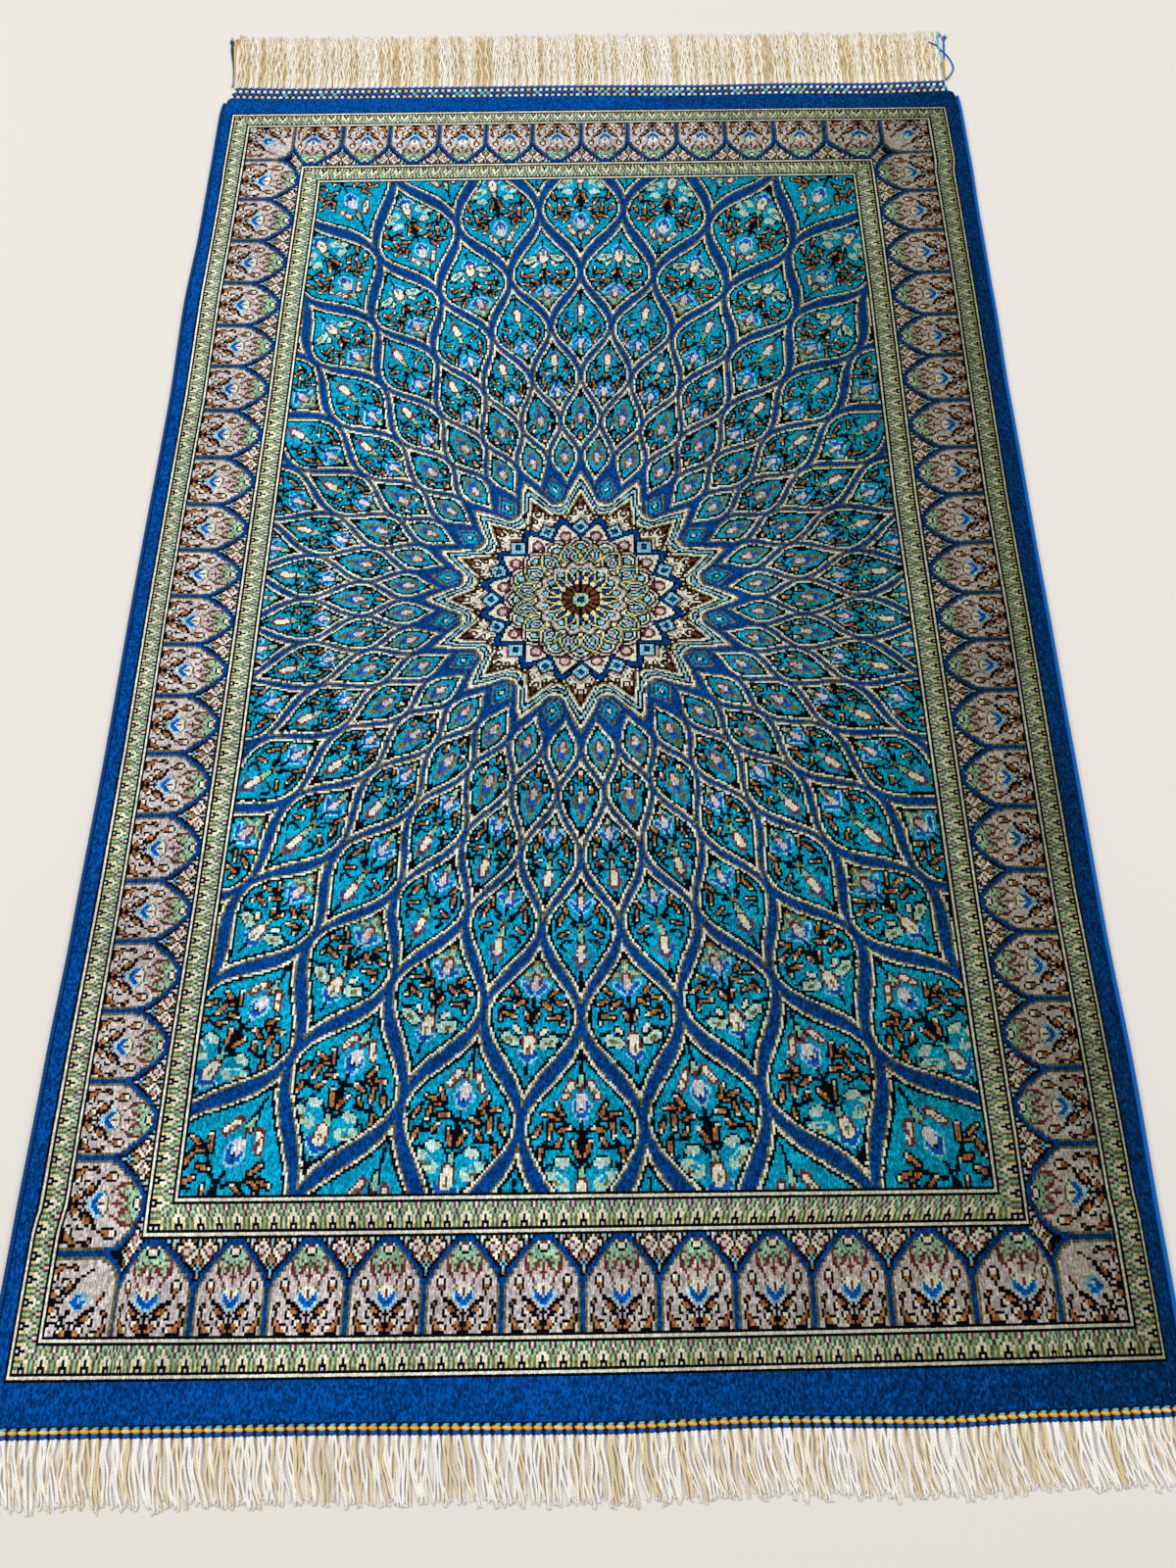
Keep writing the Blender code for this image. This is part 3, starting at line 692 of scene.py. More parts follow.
top_faces = grid_faces(top_index)
under_faces = grid_faces(under_index)[:, ::-1]
under_rim = ring_of(under_index)
wall = [np.stack([rim, np.roll(rim, -1), np.roll(rim_index, -1), rim_index], -1),
        np.stack([rim_index, np.roll(rim_index, -1), np.roll(under_rim, -1), under_rim], -1)]
faces = np.concatenate([top_faces, under_faces] + wall)
points = np.concatenate([top.reshape(-1, 3), under.reshape(-1, 3), rim_points])


def face_numbers(piece, name, values):
    """Give a piece's faces one number each, under a name that its shader reads."""
    values = np.asarray(values, dtype=np.float32)
    piece.data.attributes.new(name, "FLOAT", "FACE").data.foreach_set("value", values)


def uv_map(piece, name, uv):
    """Give a piece a UV map, with one place for each corner of each face."""
    piece.data.uv_layers.new(name=name).data.foreach_set("uv", uv.astype(np.float32).ravel())


pile_silk, tree, pile_shader = new_material("pile_silk")
pile = mesh_piece("knotted_pile", points, faces, pile_silk)

# each face lies in one block of four by four knots, and carries the block's
# silks as four numbers, one for each row, with sixteen silks to a digit
blocks = chart.reshape(len(rows) // BLOCK, BLOCK, len(columns) // BLOCK, BLOCK)
digits = (blocks * 16 ** np.arange(BLOCK)).sum(-1)
middle_column = (line_columns[1:] + line_columns[:-1]) / 2
middle_row = (line_rows[1:] + line_rows[:-1]) / 2
block_column = ((middle_column - LEFT_COLUMN + 0.5) // BLOCK).astype(int)
block_row = ((middle_row - FAR_ROW + 0.5) // BLOCK).astype(int)
face_block_row, face_block_column = (
    m.ravel() for m in np.meshgrid(block_row, block_column, indexing="ij"))
wall_faces = len(faces) - 2 * len(top_faces)
plain = sum(ink("n") * 16 ** k for k in range(BLOCK))
for k in range(BLOCK):
    values = digits[face_block_row, k, face_block_column]
    face_numbers(pile, f"knots_{k + 1}", np.concatenate([values, values, np.full(wall_faces, plain)]))
number = face_block_row * 997.0 + face_block_column      # one for each block, for its own shades
face_numbers(pile, "block", np.concatenate([number, number, np.arange(wall_faces) % 500]))

# UV map "within": where a corner lies in its block
low_column = LEFT_COLUMN - 0.5 + BLOCK * face_block_column
low_row = FAR_ROW - 0.5 + BLOCK * face_block_row
corner_column = grid_column.ravel()[top_faces] - low_column[:, None]
corner_row = grid_row.ravel()[top_faces] - low_row[:, None]
within = np.stack([corner_column, corner_row], -1) / BLOCK
wall_uv = np.tile(np.array([(0.1, 0.1), (0.9, 0.1), (0.9, 0.9), (0.1, 0.9)]), (wall_faces, 1, 1))
uv_map(pile, "within", np.concatenate([within, within[:, ::-1], wall_uv]))

# UV map "OFBake": the top takes most of the square, its long side along it
share_column = (grid_column.ravel()[top_faces] - line_columns[0]) / (line_columns[-1] - line_columns[0])
share_row = (grid_row.ravel()[top_faces] - line_rows[0]) / (line_rows[-1] - line_rows[0])
top_uv = np.stack([0.003 + 0.994 * share_row, 0.003 + 0.777 * share_column], -1)
under_uv = np.stack([0.003 + 0.994 * share_row, 0.786 + 0.190 * share_column], -1)[:, ::-1]
start = np.arange(len(rim)) / len(rim)
stop = start + 1 / len(rim)
strips = []
for low, high in ((0.982, 0.989), (0.991, 0.998)):
    strip_v = np.broadcast_to([high, high, low, low], (len(rim), 4))
    strips.append(np.stack([np.stack([start, stop, stop, start], -1), strip_v], -1))
uv_map(pile, "OFBake", np.concatenate([top_uv, under_uv] + strips))


def new_node(tree, kind, **settings):
    """A new shader node with its settings."""
    made = tree.nodes.new(kind)
    for key, value in settings.items():
        setattr(made, key, value)
    return made


def feed(tree, socket, value):
    """Join a socket to another node's output, or set it to a number."""
    if isinstance(value, bpy.types.NodeSocket):
        tree.links.new(value, socket)
    else:
        socket.default_value = value


def maths(tree, operation, *values):
    """The result of one step of arithmetic on outputs and numbers."""
    made = new_node(tree, "ShaderNodeMath", operation=operation)
    for socket, value in zip(made.inputs, values):
        feed(tree, socket, value)
    return made.outputs[0]


def weighted(tree, value, *terms):
    """A value plus each source's distance from its middle, times its amount."""
    for amount, source, middle in terms:
        value = maths(tree, "MULTIPLY_ADD", maths(tree, "SUBTRACT", source, middle), amount, value)
    return value


def limited(tree, value, low, high):
    """A value held between two limits."""
    return maths(tree, "MINIMUM", maths(tree, "MAXIMUM", value, low), high)


def linear(colour):
    """A colour as seen, 0 to 255, as the linear values that a shader takes."""
    share = np.asarray(colour, float) / 255
    low, high = share / 12.92, ((share + 0.055) / 1.055) ** 2.4
    return (*np.where(share <= 0.04045, low, high).tolist(), 1.0)


def noise(tree, vector, scale, detail, roughness=0.5, output="Fac"):
    """Soft noise over a vector, scale times to the metre."""
    made = new_node(tree, "ShaderNodeTexNoise")
    tree.links.new(vector, made.inputs["Vector"])
    set_inputs(made, Scale=scale, Detail=detail, Roughness=roughness)
    return made.outputs[output]


def number_of(tree, name):
    """A face's number, by its name."""
    return new_node(tree, "ShaderNodeAttribute", attribute_name=name).outputs["Fac"]


def place_in(tree, coordinates):
    """A UV map, or the piece's own metres for "Object", as a vector and its axes."""
    if coordinates == "Object":
        vector = new_node(tree, "ShaderNodeTexCoord").outputs["Object"]
    else:
        vector = new_node(tree, "ShaderNodeUVMap", uv_map=coordinates).outputs["UV"]
    made = new_node(tree, "ShaderNodeSeparateXYZ")
    tree.links.new(vector, made.inputs[0])
    return vector, made.outputs


def stepped(tree, share, colours):
    """One of several colours, picked in equal steps by a share from 0 to 1."""
    ramp = new_node(tree, "ShaderNodeValToRGB")
    ramp.color_ramp.interpolation = "CONSTANT"
    steps = ramp.color_ramp.elements
    while len(steps) < len(colours):
        steps.new(1.0)
    for k in range(len(steps)):
        steps[k].position = k / len(colours)
        steps[k].color = linear(colours[min(k, len(colours) - 1)])
    tree.links.new(share, ramp.inputs["Fac"])
    return ramp.outputs["Color"]


def finish_shader(tree, shader, colours, bump_height, strength, distance):
    """Give a shader the product of two colours, and a fine relief."""
    tint = new_node(tree, "ShaderNodeMix", data_type="RGBA", blend_type="MULTIPLY")
    tint.inputs["Factor"].default_value = 1.0
    for side, colour in zip("AB", colours):
        tree.links.new(colour, tint.inputs[side])
    tree.links.new(tint.outputs["Result"], shader.inputs["Base Color"])
    bump = new_node(tree, "ShaderNodeBump")
    set_inputs(bump, Strength=strength, Distance=distance)
    tree.links.new(bump_height, bump.inputs["Height"])
    tree.links.new(bump.outputs["Normal"], shader.inputs["Normal"])


# the knot that a point lies in, its sides a little frayed, and that knot's silk
objects, place = place_in(tree, "Object")
spot = place_in(tree, "within")[1]
stray = new_node(tree, "ShaderNodeSeparateColor")
tree.links.new(noise(tree, objects, 900.0, 1.0, output="Color"), stray.inputs[0])
inside = []
for axis in (0, 1):
    frayed = maths(tree, "MULTIPLY_ADD", spot[axis], float(BLOCK),
                   maths(tree, "MULTIPLY_ADD", stray.outputs[axis], 0.5, -0.25))
    inside.append(limited(tree, frayed, 0.001, BLOCK - 0.001))
knot_column, knot_row = (maths(tree, "FLOOR", axis) for axis in inside)
value = 0.5
for k in range(BLOCK):
    value = maths(tree, "MULTIPLY_ADD", maths(tree, "COMPARE", knot_row, float(k), 0.1),
                  number_of(tree, f"knots_{k + 1}"), value)
digit = maths(tree, "FLOOR", maths(tree, "DIVIDE", value, maths(tree, "POWER", 16.0, knot_column)))
silk = maths(tree, "MULTIPLY_ADD", maths(tree, "MODULO", digit, 16.0), 1 / 16, 0.5 / 16)
silk_colour = stepped(tree, silk, [colour for _, colour in SILKS.values()])

# each tuft has its own tone; the nap's longer light and dark flecks are partly random tone and partly
# painted glints and shade of the silk's sheen, and a painted sheen makes the colour lighter at the left
# and darker toward the right
tuft = new_node(tree, "ShaderNodeCombineXYZ")
for socket, source in zip(tuft.inputs, (knot_column, knot_row, number_of(tree, "block"))):
    tree.links.new(source, socket)
shade = new_node(tree, "ShaderNodeTexWhiteNoise", noise_dimensions="3D")
tree.links.new(tuft.outputs[0], shade.inputs["Vector"])
# rounded knots: bumps in the relief, and in the colour a painted highlight in the middle of each column
# of knots with painted shade between columns
hump_column, hump_row = (
    maths(tree, "SINE", maths(tree, "MULTIPLY", maths(tree, "FRACT", axis), np.pi)) for axis in inside)


def drawn_out(along):
    """The piece's own metres, drawn out along the rug: along is under 1."""
    made = new_node(tree, "ShaderNodeMapping")
    tree.links.new(objects, made.inputs["Vector"])
    made.inputs["Scale"].default_value = (1.0, along, 1.0)
    return made.outputs[0]


fibre = noise(tree, drawn_out(0.28), 2600.0, 2.0)
fleck = noise(tree, drawn_out(0.42), 1050.0, 1.0, 0.6)
mottle = noise(tree, objects, 14.0, 3.0)
# the place on the rug, from about -1 to 1 across (u) and along it (v)
u = maths(tree, "MULTIPLY_ADD", place["X"], 1 / 0.3, 0.01)
v = maths(tree, "MULTIPLY_ADD", place["Y"], 1 / 0.48, 0.037)
flecks = weighted(tree, 0.0, (0.9, shade.outputs["Value"], 0.5), (4.4, fleck, 0.5), (1.4, fibre, 0.5))
lightness = new_node(tree, "ShaderNodeRGBToBW")
tree.links.new(silk_colour, lightness.inputs[0])
calm = maths(tree, "MULTIPLY_ADD", lightness.outputs[0], -0.75, 1.0)
# painted sheen and shade on the colour: flecks, lighter knot middles, darker toward the right (u) and a
# little darker toward the near end (v); the mottle is the silk's own uneven tone
sheen = weighted(tree, maths(tree, "MULTIPLY_ADD", flecks, calm, -0.20),
                 (0.25, hump_column, 0.64), (1.0, mottle, 0.5), (-0.50, u, 0.0),
                 (-0.46, maths(tree, "MULTIPLY", u, u), 0.0), (0.08, v, 0.0))
bright = maths(tree, "MINIMUM", maths(tree, "EXPONENT", sheen), 1.7)
grey = new_node(tree, "ShaderNodeCombineColor")
# painted shade: toward the right the blue is also taken down, so the painted dark side looks warmer
painted_warm_shade = maths(tree, "MULTIPLY_ADD", maths(tree, "MAXIMUM", u, 0.0), -0.18, 1.0)
for socket in grey.inputs[:2]:
    tree.links.new(bright, socket)
tree.links.new(maths(tree, "MULTIPLY", bright, painted_warm_shade), grey.inputs[2])
height = weighted(tree, 0.0, (0.8, fibre, 0.0), (0.6, hump_column, 0.0), (0.25, hump_row, 0.0))
finish_shader(tree, pile_shader, (silk_colour, grey.outputs[0]), height, 0.55, 0.0005)
set_inputs(pile_shader, Roughness=0.65, Specular_IOR_Level=0.02)

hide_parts("pile")

# ------------------------------------------------------------- the selvedges
# Each long edge is overcast: bright blue silk is wound round the two outer
# cords from end to end, every turn lying close against the last.
def tube_walls(index):
    """Faces between the rings of a tube, from point numbers that go round it on
    their last axis and along it on the one before."""
    following = np.roll(index, -1, -1)
    walls = np.stack([index[..., :-1, :], index[..., 1:, :],
                      following[..., 1:, :], following[..., :-1, :]], -1)
    return walls.reshape(*index.shape[:-2], -1, 4)


def tubes(paths, half_wide, half_tall, sides, skew):
    """Closed tubes along many paths at once: an ellipse, its width across the
    path and its height upright, is carried along each path. skew pushes the
    ellipse's right side ahead of its left by that share of its own width."""
    count, stations = paths.shape[:2]
    run = np.gradient(paths, axis=1)
    flat_run = run[..., :2] / np.maximum(np.linalg.norm(run[..., :2], axis=-1, keepdims=True), 1e-12)
    out = np.stack([flat_run[..., 1], -flat_run[..., 0], np.zeros((count, stations))], -1)
    ahead = np.concatenate([flat_run, np.zeros((count, stations, 1))], -1)
    turn = 2 * np.pi * (np.arange(sides) + 0.5) / sides
    wide = np.broadcast_to(half_wide, (count, stations))[..., None, None]
    high = np.broadcast_to(half_tall, (count, stations))[..., None, None]
    side = np.cos(turn)[:, None]
    points = (paths[:, :, None, :] + out[:, :, None, :] * side * wide
              + ahead[:, :, None, :] * side * wide * skew
              + np.array([0.0, 0.0, 1.0]) * np.sin(turn)[:, None] * high)
    index = np.arange(count * stations * sides).reshape(count, stations, sides)
    k = np.arange(sides // 2 - 1)
    cap = np.stack([k, k + 1, sides - 2 - k, sides - 1 - k], -1)
    first, last = index[:, 0][:, cap], index[:, -1][:, cap[:, ::-1]]
    return points, np.concatenate([tube_walls(index), first, last], 1)


def yarn_piece(name, paths, half_wide, half_tall, sides, material, skew=0.0):
    """Tubes as one piece. For the twist of the yarn, its UV map "yarn" says how
    far round each corner lies, from 0 to 1, and how far along in metres."""
    piece = mesh_piece(name, *tubes(paths, half_wide, half_tall, sides, skew), material)
    steps = np.linalg.norm(np.diff(paths, axis=1), axis=-1)
    lengths = np.concatenate([np.zeros((len(paths), 1)), np.cumsum(steps, axis=1)], 1)
    walls = (*steps.shape, sides)
    v0, v1 = (np.broadcast_to(v[..., None], walls) for v in (lengths[:, :-1], lengths[:, 1:]))
    u0, u1 = (np.broadcast_to((np.arange(sides) + k) / sides, walls) for k in (0, 1))
    uv = np.stack([np.stack([u0, u0, u1, u1], -1), np.stack([v0, v1, v1, v0], -1)], -1)
    caps = np.zeros((len(paths), sides - 2, 4, 2))
    uv_map(piece, "yarn", np.concatenate([uv.reshape(len(paths), -1, 4, 2), caps], 1))
    return piece


def yarn_material(name, colours, turn_pitch, plies, roughness, sheen, bump_distance=0.0002,
                  crevice_shade=(0.42, 0.42, 0.42)):
    """Twisted yarn: its plies are stripes that climb round it and turn to a dark
    tint at their sides, a painted shade in the crevices between plies; one side
    of each tube is painted lighter and the other darker, as if lit from one side;
    and its colour is picked by the face attribute "picked", one share for each colour."""
    made, tree, shader = new_material(name)
    uv = place_in(tree, "yarn")[1]
    objects = place_in(tree, "Object")[0]
    phase = maths(tree, "MULTIPLY_ADD", uv["Y"], 1.0 / turn_pitch, uv["X"])
    ply = maths(tree, "ABSOLUTE", maths(tree, "SINE", maths(tree, "MULTIPLY", phase, np.pi * plies)))
    fibre = noise(tree, objects, 1800.0, 3.0)
    patch = noise(tree, objects, 60.0, 2.0)
    picked = stepped(tree, number_of(tree, "picked"), colours)
    # painted light: one side of each tube, by how far round it lies, is made lighter and the other darker
    lit = maths(tree, "SINE", maths(tree, "MULTIPLY", uv["X"], 2 * np.pi))
    # the ply stripes give painted shade in the crevices between plies; fibre and patch are the yarn's own
    # uneven tone
    bright = weighted(tree, 0.25, (0.55, ply, 0.0), (0.40, lit, 0.0), (0.9, fibre, 0.5),
                      (0.5, patch, 0.5))
    hue = new_node(tree, "ShaderNodeMix", data_type="RGBA")
    tree.links.new(limited(tree, bright, 0.0, 1.0), hue.inputs["Factor"])
    hue.inputs["A"].default_value = (*crevice_shade, 1.0)
    hue.inputs["B"].default_value = (1.0, 1.0, 1.0, 1.0)
    finish_shader(tree, shader, (picked, hue.outputs["Result"]),
                  maths(tree, "MULTIPLY_ADD", fibre, 0.4, ply), 0.6, bump_distance)
    set_inputs(shader, Roughness=roughness, Specular_IOR_Level=0.12, Sheen_Weight=sheen,
               Sheen_Roughness=0.4)
    return made


def pick_yarn(piece, shares):
    """Give a piece's faces their share of the yarn's colours: shares are for
    equal runs of faces, such as one for each tube."""
    face_numbers(piece, "picked", np.repeat(shares, len(piece.data.polygons) // len(shares)))


SELVEDGE_HEIGHT = 0.0034
WRAP_PITCH = 0.0021
STATIONS_PER_WRAP = 4
trimmings = []
# both edges are wound in the same blue silk; the right one's lighter blue is a painted sheen along that
# edge
for side, name, column, colour in ((-1, "left", 1, (0, 66, 132)), (1, "right", 2, (0, 98, 190))):
    edge_at = eased(LONG_EDGES, column, np.array([LONG_EDGES[0, 0], LONG_EDGES[-1, 0]]))
    edge_at = edge_at - side * (SELVEDGE_WIDTH + PART_GAP)
    low = eased(SHORT_ENDS, 1, edge_at[0]) + CORNER_ROUND
    high = eased(SHORT_ENDS, 2, edge_at[1]) - CORNER_ROUND
    stations = int((high - low) / WRAP_PITCH) * STATIONS_PER_WRAP + 1
    along = np.linspace(low, high, stations)
    middle = eased(LONG_EDGES, column, along) - side * SELVEDGE_WIDTH / 2
    wrap = np.abs(np.sin(np.pi * (np.arange(stations) + 0.5) / STATIONS_PER_WRAP)) ** 0.6
    size = 0.86 + 0.14 * wrap
    size[[0, -1]] *= 0.75
    path = np.stack([middle + border_middle[0], along + border_middle[1],
                     np.full(stations, SELVEDGE_HEIGHT / 2)], -1)[None]
    edge_silk = yarn_material(f"edge_silk_{name}", [colour], WRAP_PITCH, 1, 0.6, 0.0, 0.0003)
    selvedge = yarn_piece(f"overcast_{name}", path, (SELVEDGE_WIDTH / 2) * size,
                          (SELVEDGE_HEIGHT / 2) * size, 10, edge_silk, skew=0.35)
    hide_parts(f"selvedge_{name}")
    trimmings.append(selvedge)


# -------------------------------------------------------- the twined end bands
# Where the knots stop, coloured yarns are twined across the warps in close
# rows, over and under a bundle of warps at a time, so that the knots can't
# slip off. The far band has four rows and the near one three.
BUNDLES = 116
BASE_HEIGHT = 0.0014
BEAD_TOP = 0.0026
BEAD_HALF = 0.0012
random = np.random.default_rng(16)


def band_place(band, share, out):
    """Where a share of the way across a band, and so far out of the pile's end, lies."""
    left, right = (inner + (outer - inner) * (out / band["depth"])
                   for inner, outer in zip(band["inner"], band["outer"]))
    across = left + (right - left) * share
    y = eased(SHORT_ENDS, band["end_column"], across) + band["outwards"] * (PART_GAP + out)
    return across + border_middle[0], y + border_middle[1]


# each row: how far out it lies, its beads' length and width, how far they
# slant, and the two yarns that they are made of
BANDS = {
    "far": {"end_column": 2, "outwards": 1, "depth": 0.0150,
            "inner": (-0.2935, 0.3010), "outer": (-0.2900, 0.2981),
            "rows": [(0.0033, 0.0032, 0.0033, 0.30, (0, 1)), (0.0067, 0.0038, 0.0042, 0.30, (3, 2)),
                     (0.0101, 0.0032, 0.0033, 0.30, (1, 0)), (0.0131, 0.0038, 0.0044, 0.30, (3, 3))]},
    "near": {"end_column": 1, "outwards": -1, "depth": 0.0056,
             "inner": (-0.2955, 0.2940), "outer": (-0.2952, 0.2937),
             "rows": [(0.0007, 0.0018, 0.0032, 0.05, (4, 2)), (0.0022, 0.0024, 0.0050, -0.10, (5, 0)),
                      (0.0042, 0.0030, 0.0036, 0.05, (3, 3))]},
}
BAND_COLOURS = [(255, 214, 116), (255, 248, 220), (70, 184, 240), (0, 88, 186), (110, 200, 226),
                (252, 184, 44), (8, 26, 60)]
# the last colour is the web's near-black blue: its own dark blue and painted shade in the gaps between
# beads
WEB_AND_GAP_SHADE_COLOUR = 6
# the last tint is the grey that the band yarn's painted shade turns to
band_yarn = yarn_material("band_yarn", BAND_COLOURS, 0.006, 2, 0.6, 0.0, 0.0002, (0.46, 0.44, 0.42))

for name, band in BANDS.items():
    bead_paths, bead_wide, bead_tall, bead_yarn = [], [], [], []
    middle = (np.arange(BUNDLES) + 0.5) / BUNDLES
    swell = np.array([0.35, 0.80, 1.0, 1.0, 0.80, 0.35])
    for row, (out, length, width, slant, yarns) in enumerate(band["rows"]):
        step = np.linspace(-0.5, 0.5, len(swell))
        share = middle[:, None] + (row % 2 - 0.5) * min(slant, 0.25) * 2 / BUNDLES
        x, y = band_place(band, share, np.clip(out + step * length, 0.0001, band["depth"] - 0.0001))
        x = x + slant * step * length + random.normal(0, 0.00012, (BUNDLES, 1))
        bead_paths.append(np.stack([x, y, np.full(x.shape, BEAD_TOP - BEAD_HALF)], -1))
        bead_wide.append(width / 2 * swell * random.normal(1, 0.04, (BUNDLES, 1)))
        bead_tall.append(np.broadcast_to(BEAD_HALF * swell, x.shape))
        pick = np.where(random.random(BUNDLES) < 0.65, yarns[0], yarns[1])
        bead_yarn.append((pick + 0.5) / len(BAND_COLOURS))
    beads = yarn_piece(f"twining_{name}", np.concatenate(bead_paths), np.concatenate(bead_wide),
                       np.concatenate(bead_tall), 8, band_yarn)
    pick_yarn(beads, np.concatenate(bead_yarn))
    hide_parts(f"end_band_{name}")

    # the woven web under the twining, a low strip over all the warps; its near-black blue is partly the
    # web's own dark blue and partly painted shade in the gaps between the beads
    section = np.array([(0, 0), (0, 0.8), (0.04, 1), (0.96, 1), (1, 0.8), (1, 0)])
    share, out = np.meshgrid(np.linspace(0, 1, 60), section[:, 0] * band["depth"], indexing="ij")
    x, y = band_place(band, share, out)
    z = np.broadcast_to(section[:, 1] * BASE_HEIGHT * 0.8, x.shape)
    index = np.arange(x.size).reshape(x.shape)
    caps = np.array([(0, 1, 4, 5), (1, 2, 3, 4)])
    web_faces = np.concatenate([tube_walls(index), caps, index[-1][caps][:, ::-1]])
    if band["outwards"] < 0:
        web_faces = web_faces[:, ::-1]
    web = mesh_piece(f"band_web_{name}", np.stack([x, y, z], -1), web_faces, band_yarn)
    pick_yarn(web, [(WEB_AND_GAP_SHADE_COLOUR + 0.5) / len(BAND_COLOURS)])
    web.data.uv_layers.new(name="yarn")
    trimmings += [beads, web]


# --------------------------------------------------------------- the fringes
# The ivory cotton warps left when the rug was cut from its loom: five strands
# out of every twined bundle at the far end and four at the near end, uneven
# and fanned, resting on the floor.
STRAND_STATIONS = 18
ROOT_HEIGHT = 0.0012
REST_AFTER = 0.006
FRAYS = 3
# each fringe's tint for painted shade is a warm tan that the cotton turns to in its crevices and on its
# darker side
FRINGES = {
    "far": {"each": 5, "waves": (2.0, 3.8), "wave": 0.0009, "length": 0.0655,
            "short_right": 0.0022, "uneven": 0.0018,
            "lean": (-0.0060, -0.0024, 0.0036), "radius": 0.00060, "crevice_shade": (0.74, 0.60, 0.42),
            "colours": [(255, 255, 250), (252, 244, 220), (222, 196, 146)]},
    "near": {"each": 4, "waves": (0.6, 1.4), "wave": 0.0009, "length": 0.0292,
             "short_right": 0.0010, "uneven": 0.0013,
             "lean": (0.0062, 0.0036, 0.0066), "radius": 0.00074, "crevice_shade": (0.72, 0.60, 0.44),
             "colours": [(255, 255, 255), (252, 252, 246), (236, 220, 184)]},
}
for name, fringe in FRINGES.items():
    band, each = BANDS[name], fringe["each"]
    count = BUNDLES * each
    bundle = np.repeat(np.arange(BUNDLES), each)
    slot_in = np.tile(np.arange(each) - (each - 1) / 2, BUNDLES)
    share = (bundle + 0.5) / BUNDLES
    s = np.linspace(0, 1, STRAND_STATIONS)
    spread = 1.0 / BUNDLES / each
    root = share + slot_in * spread * 0.58
    drift = (np.convolve(random.normal(0, 1, BUNDLES + 4), np.ones(5) / 5, "valid") * 1.5
             + random.normal(0, 0.5, BUNDLES))
    tip = share + spread * (slot_in * 1.05 + drift[bundle] + random.normal(0, 0.6, count))
    length = (fringe["length"] - fringe["short_right"] * share
              + random.normal(0, fringe["uneven"], count))
    lean = bowed(*fringe["lean"], 2 * share - 1)
    x0, y0 = band_place(band, root, band["depth"] - 0.0004)
    x1, _ = band_place(band, tip, band["depth"])
    sway = fringe["wave"] * np.sin(2 * np.pi * (s * random.uniform(*fringe["waves"], (count, 1))
                                                + random.random((count, 1))))
    x = x0[:, None] + (x1 - x0)[:, None] * s + lean[:, None] * s ** 2 + sway * np.clip(4 * s, 0, 1)
    y = y0[:, None] + band["outwards"] * length[:, None] * s
    radius = fringe["radius"] * (1 - 0.2 * s ** 2) * random.normal(1, 0.08, (count, 1))
    drop = ease(np.clip(s * length[:, None] / REST_AFTER, 0, 1))
    over = 0.0005 * (np.arange(count)[:, None] % 2) * np.sin(np.pi * np.clip(s * 1.15, 0, 1))
    z = ROOT_HEIGHT * (1 - drop) + (radius + over) * drop
    end = np.ones(STRAND_STATIONS)
    end[-1] = 0.35
    fringe_cotton = yarn_material(f"warp_cotton_{name}", fringe["colours"], 0.0034, 2, 0.8, 0.15, 0.0002,
                                  fringe["crevice_shade"])
    paths = np.stack([x, y, z], -1)
    strands = yarn_piece(f"warp_ends_{name}", paths, radius * end, radius * end, 6, fringe_cotton)
    cottons = len(fringe["colours"])
    pick_yarn(strands, (random.integers(0, cottons, count) + 0.5) / cottons)

    # each cut end frays into fine plies
    tips = np.repeat(paths[:, -2], FRAYS, axis=0)
    frays = tips[:, None] + np.linspace(0, 1, 4)[:, None] * np.stack([
        random.normal(0, 0.0006, len(tips)), band["outwards"] * random.uniform(0.0010, 0.0028, len(tips)),
        random.uniform(-0.0003, 0.0, len(tips))], -1)[:, None]
    ply = fringe["radius"] * 0.5
    frays[..., 2] = np.maximum(frays[..., 2], ply)
    frayed = yarn_piece(f"frayed_ends_{name}", frays, ply, ply, 4, fringe_cotton)
    pick_yarn(frayed, [0.5 / cottons])
    trimmings += [strands, frayed]
    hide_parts(f"fringe_{name}")


# ------------------------------------------------------------- the yarn tails
# Loose ends of the twining yarns, left hanging at both far corners where the
# band ends, and fanned out over the fringe's edge.
TAIL_RADIUS = 0.00055
TAIL_STATIONS = 26
TAIL_SIDES = 8
TUFT_PLIES, TUFT_RADIUS = 12, 0.00026
TAILS = {
    # where each yarn runs outwards and along, how many times thicker its tip
    # is, and its colour at first and from halfway
    "left": (-1, [([(0.0000, 0.000), (0.0012, 0.016), (0.0036, 0.031), (0.0056, 0.043),
                    (0.0072, 0.056)], 2.0, 0, 1),
                  ([(0.0004, 0.000), (0.0002, 0.016), (0.0022, 0.031), (0.0040, 0.046),
                    (0.0034, 0.058)], 1.5, 2, 3)],
             [(40, 120, 130), (0, 66, 130), (214, 196, 130), (250, 214, 70)]),
    "right": (1, [([(-0.0002, 0.000), (0.0006, 0.012), (0.0018, 0.024), (0.0036, 0.040),
                    (0.0050, 0.052)], 1.4, 0, 1),
                  ([(-0.0006, 0.000), (-0.0006, 0.014), (-0.0004, 0.028), (-0.0018, 0.043),
                    (0.0004, 0.055)], 1.5, 2, 3),
                  ([(0.0006, 0.000), (0.0100, 0.014), (0.0062, 0.030), (-0.0010, 0.041),
                    (-0.0090, 0.047)], 1.0, 4, 4)],
              [(226, 178, 60), (10, 110, 215), (180, 180, 120), (110, 200, 240), (20, 74, 160)]),
}
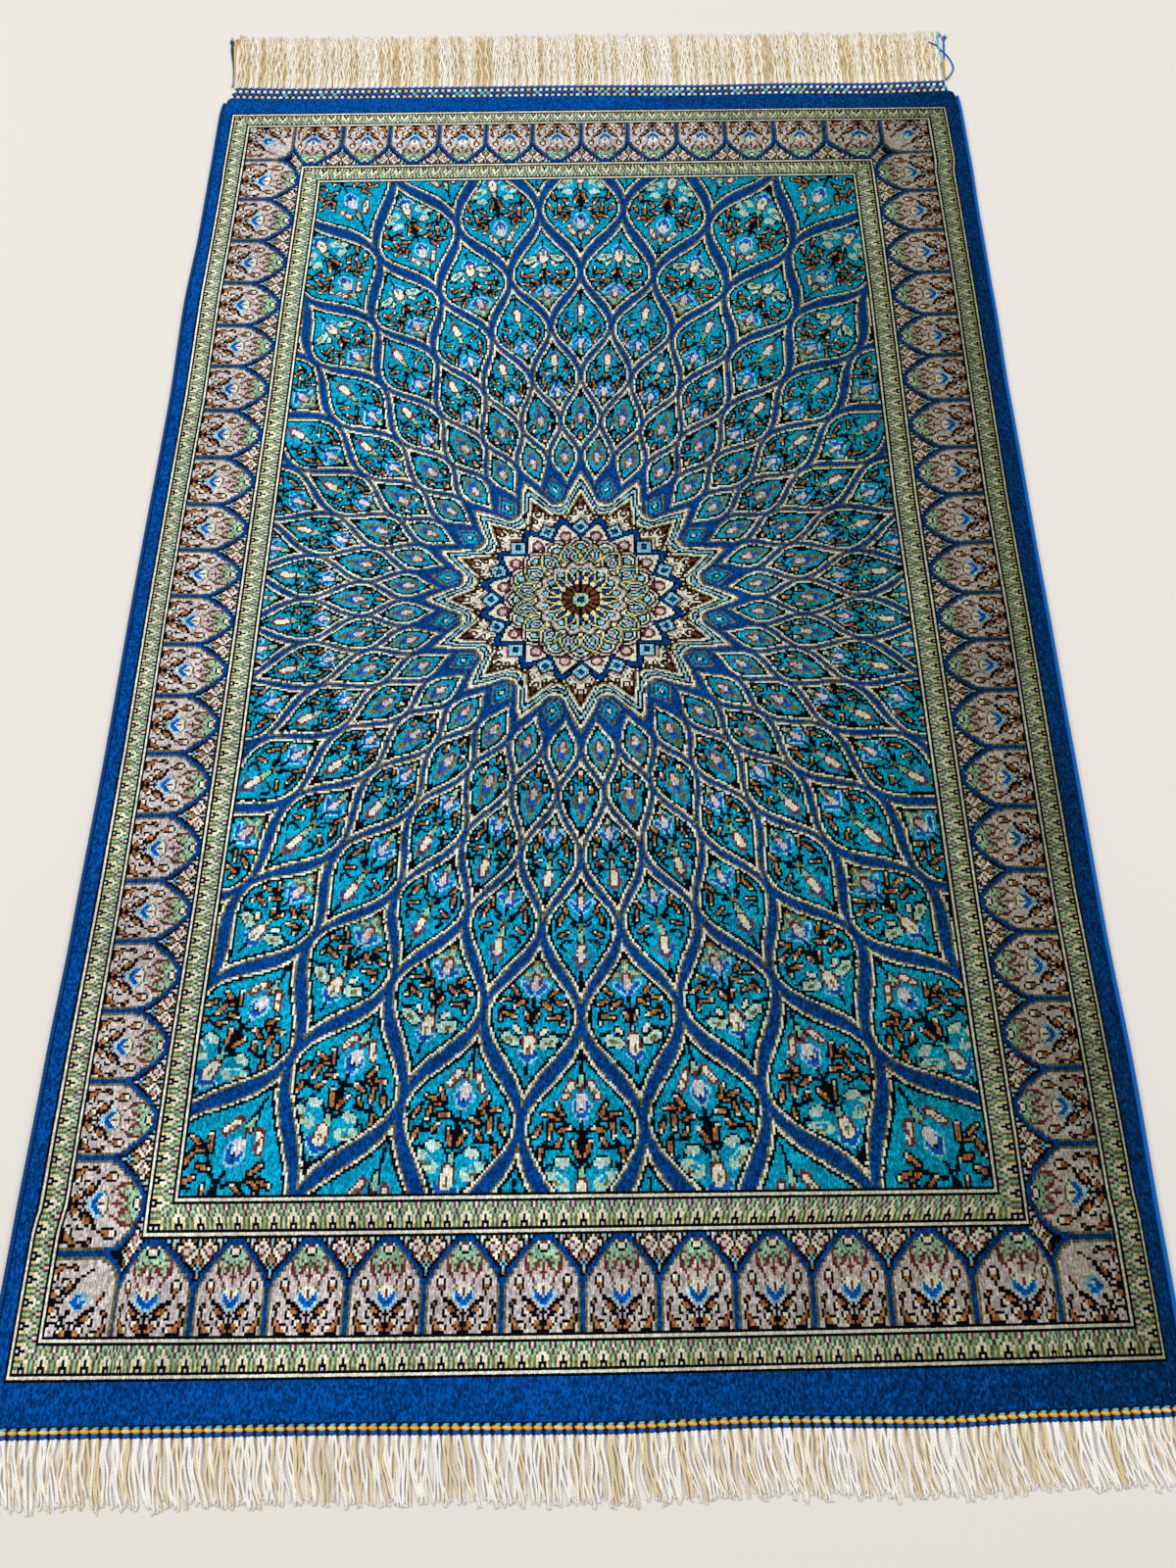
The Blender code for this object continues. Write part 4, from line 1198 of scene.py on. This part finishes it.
for name, (side, tails, colours) in TAILS.items():
    knot_across = BANDS["far"]["outer"][0 if side < 0 else 1] + side * (0.0036 / 2 + 2 * PART_GAP)
    knot_along = eased(SHORT_ENDS, 2, np.array([knot_across]))[0] + BANDS["far"]["depth"] + 0.0016
    s = np.linspace(0, 1, TAIL_STATIONS)
    paths, thick = [], []
    for bends_given, tip_size, _, _ in tails:
        given = np.array(bends_given)
        bends = np.stack([np.interp(s, np.linspace(0, 1, len(given)), given[:, k]) for k in (0, 1)], -1)
        for _ in range(8):
            bends[1:-1] = 0.25 * bends[:-2] + 0.5 * bends[1:-1] + 0.25 * bends[2:]
        thickness = TAIL_RADIUS * np.interp(s, [0, 0.5, 0.8, 1], [1, 1, tip_size, 0.7 * tip_size])
        over_fringe = 0.0012 * np.clip(-bends[:, 0] / 0.002, 0, 1)
        paths.append(np.stack([knot_across + side * bends[:, 0] + border_middle[0],
                               knot_along + bends[:, 1] + border_middle[1],
                               thickness + over_fringe + 0.0009 * (1 - np.clip(s * 6, 0, 1))], -1))
        thick.append(thickness)
    paths, thick = np.array(paths), np.array(thick)
    tail_silk = yarn_material(f"tail_silk_{name}", colours, 0.003, 2, 0.6, 0.0, 0.0002)
    yarns = yarn_piece(f"loose_yarns_{name}", paths, thick, thick, TAIL_SIDES, tail_silk)
    first, last = (np.array([(tail[k] + 0.5) / len(colours) for tail in tails]) for k in (2, 3))
    face = np.arange(len(yarns.data.polygons) // len(tails))
    shares = np.where(face < TAIL_STATIONS // 2 * TAIL_SIDES, first[:, None], last[:, None])
    pick_yarn(yarns, shares.ravel())

    # every tip thicker than its yarn comes untwisted into a tuft
    loose = np.array([tail[1] > 1 for tail in tails])
    ends = np.repeat(paths[loose, -3], TUFT_PLIES, axis=0)
    heading = np.repeat(paths[loose, -1] - paths[loose, -3], TUFT_PLIES, axis=0)
    heading = (heading / np.linalg.norm(heading, axis=1, keepdims=True)
               * random.uniform(0.004, 0.009, (len(ends), 1)))
    heading[:, :2] += random.normal(0, 0.0014, (len(ends), 2))
    heading[:, 2] = 0
    tuft = ends[:, None] + np.linspace(0, 1, 4)[:, None] * heading[:, None]
    tufts = yarn_piece(f"tufts_{name}", tuft, TUFT_RADIUS, TUFT_RADIUS, 4, tail_silk)
    pick_yarn(tufts, np.repeat(last[loose], TUFT_PLIES))
    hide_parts(f"yarn_tails_{name}")
    trimmings += [yarns, tufts]
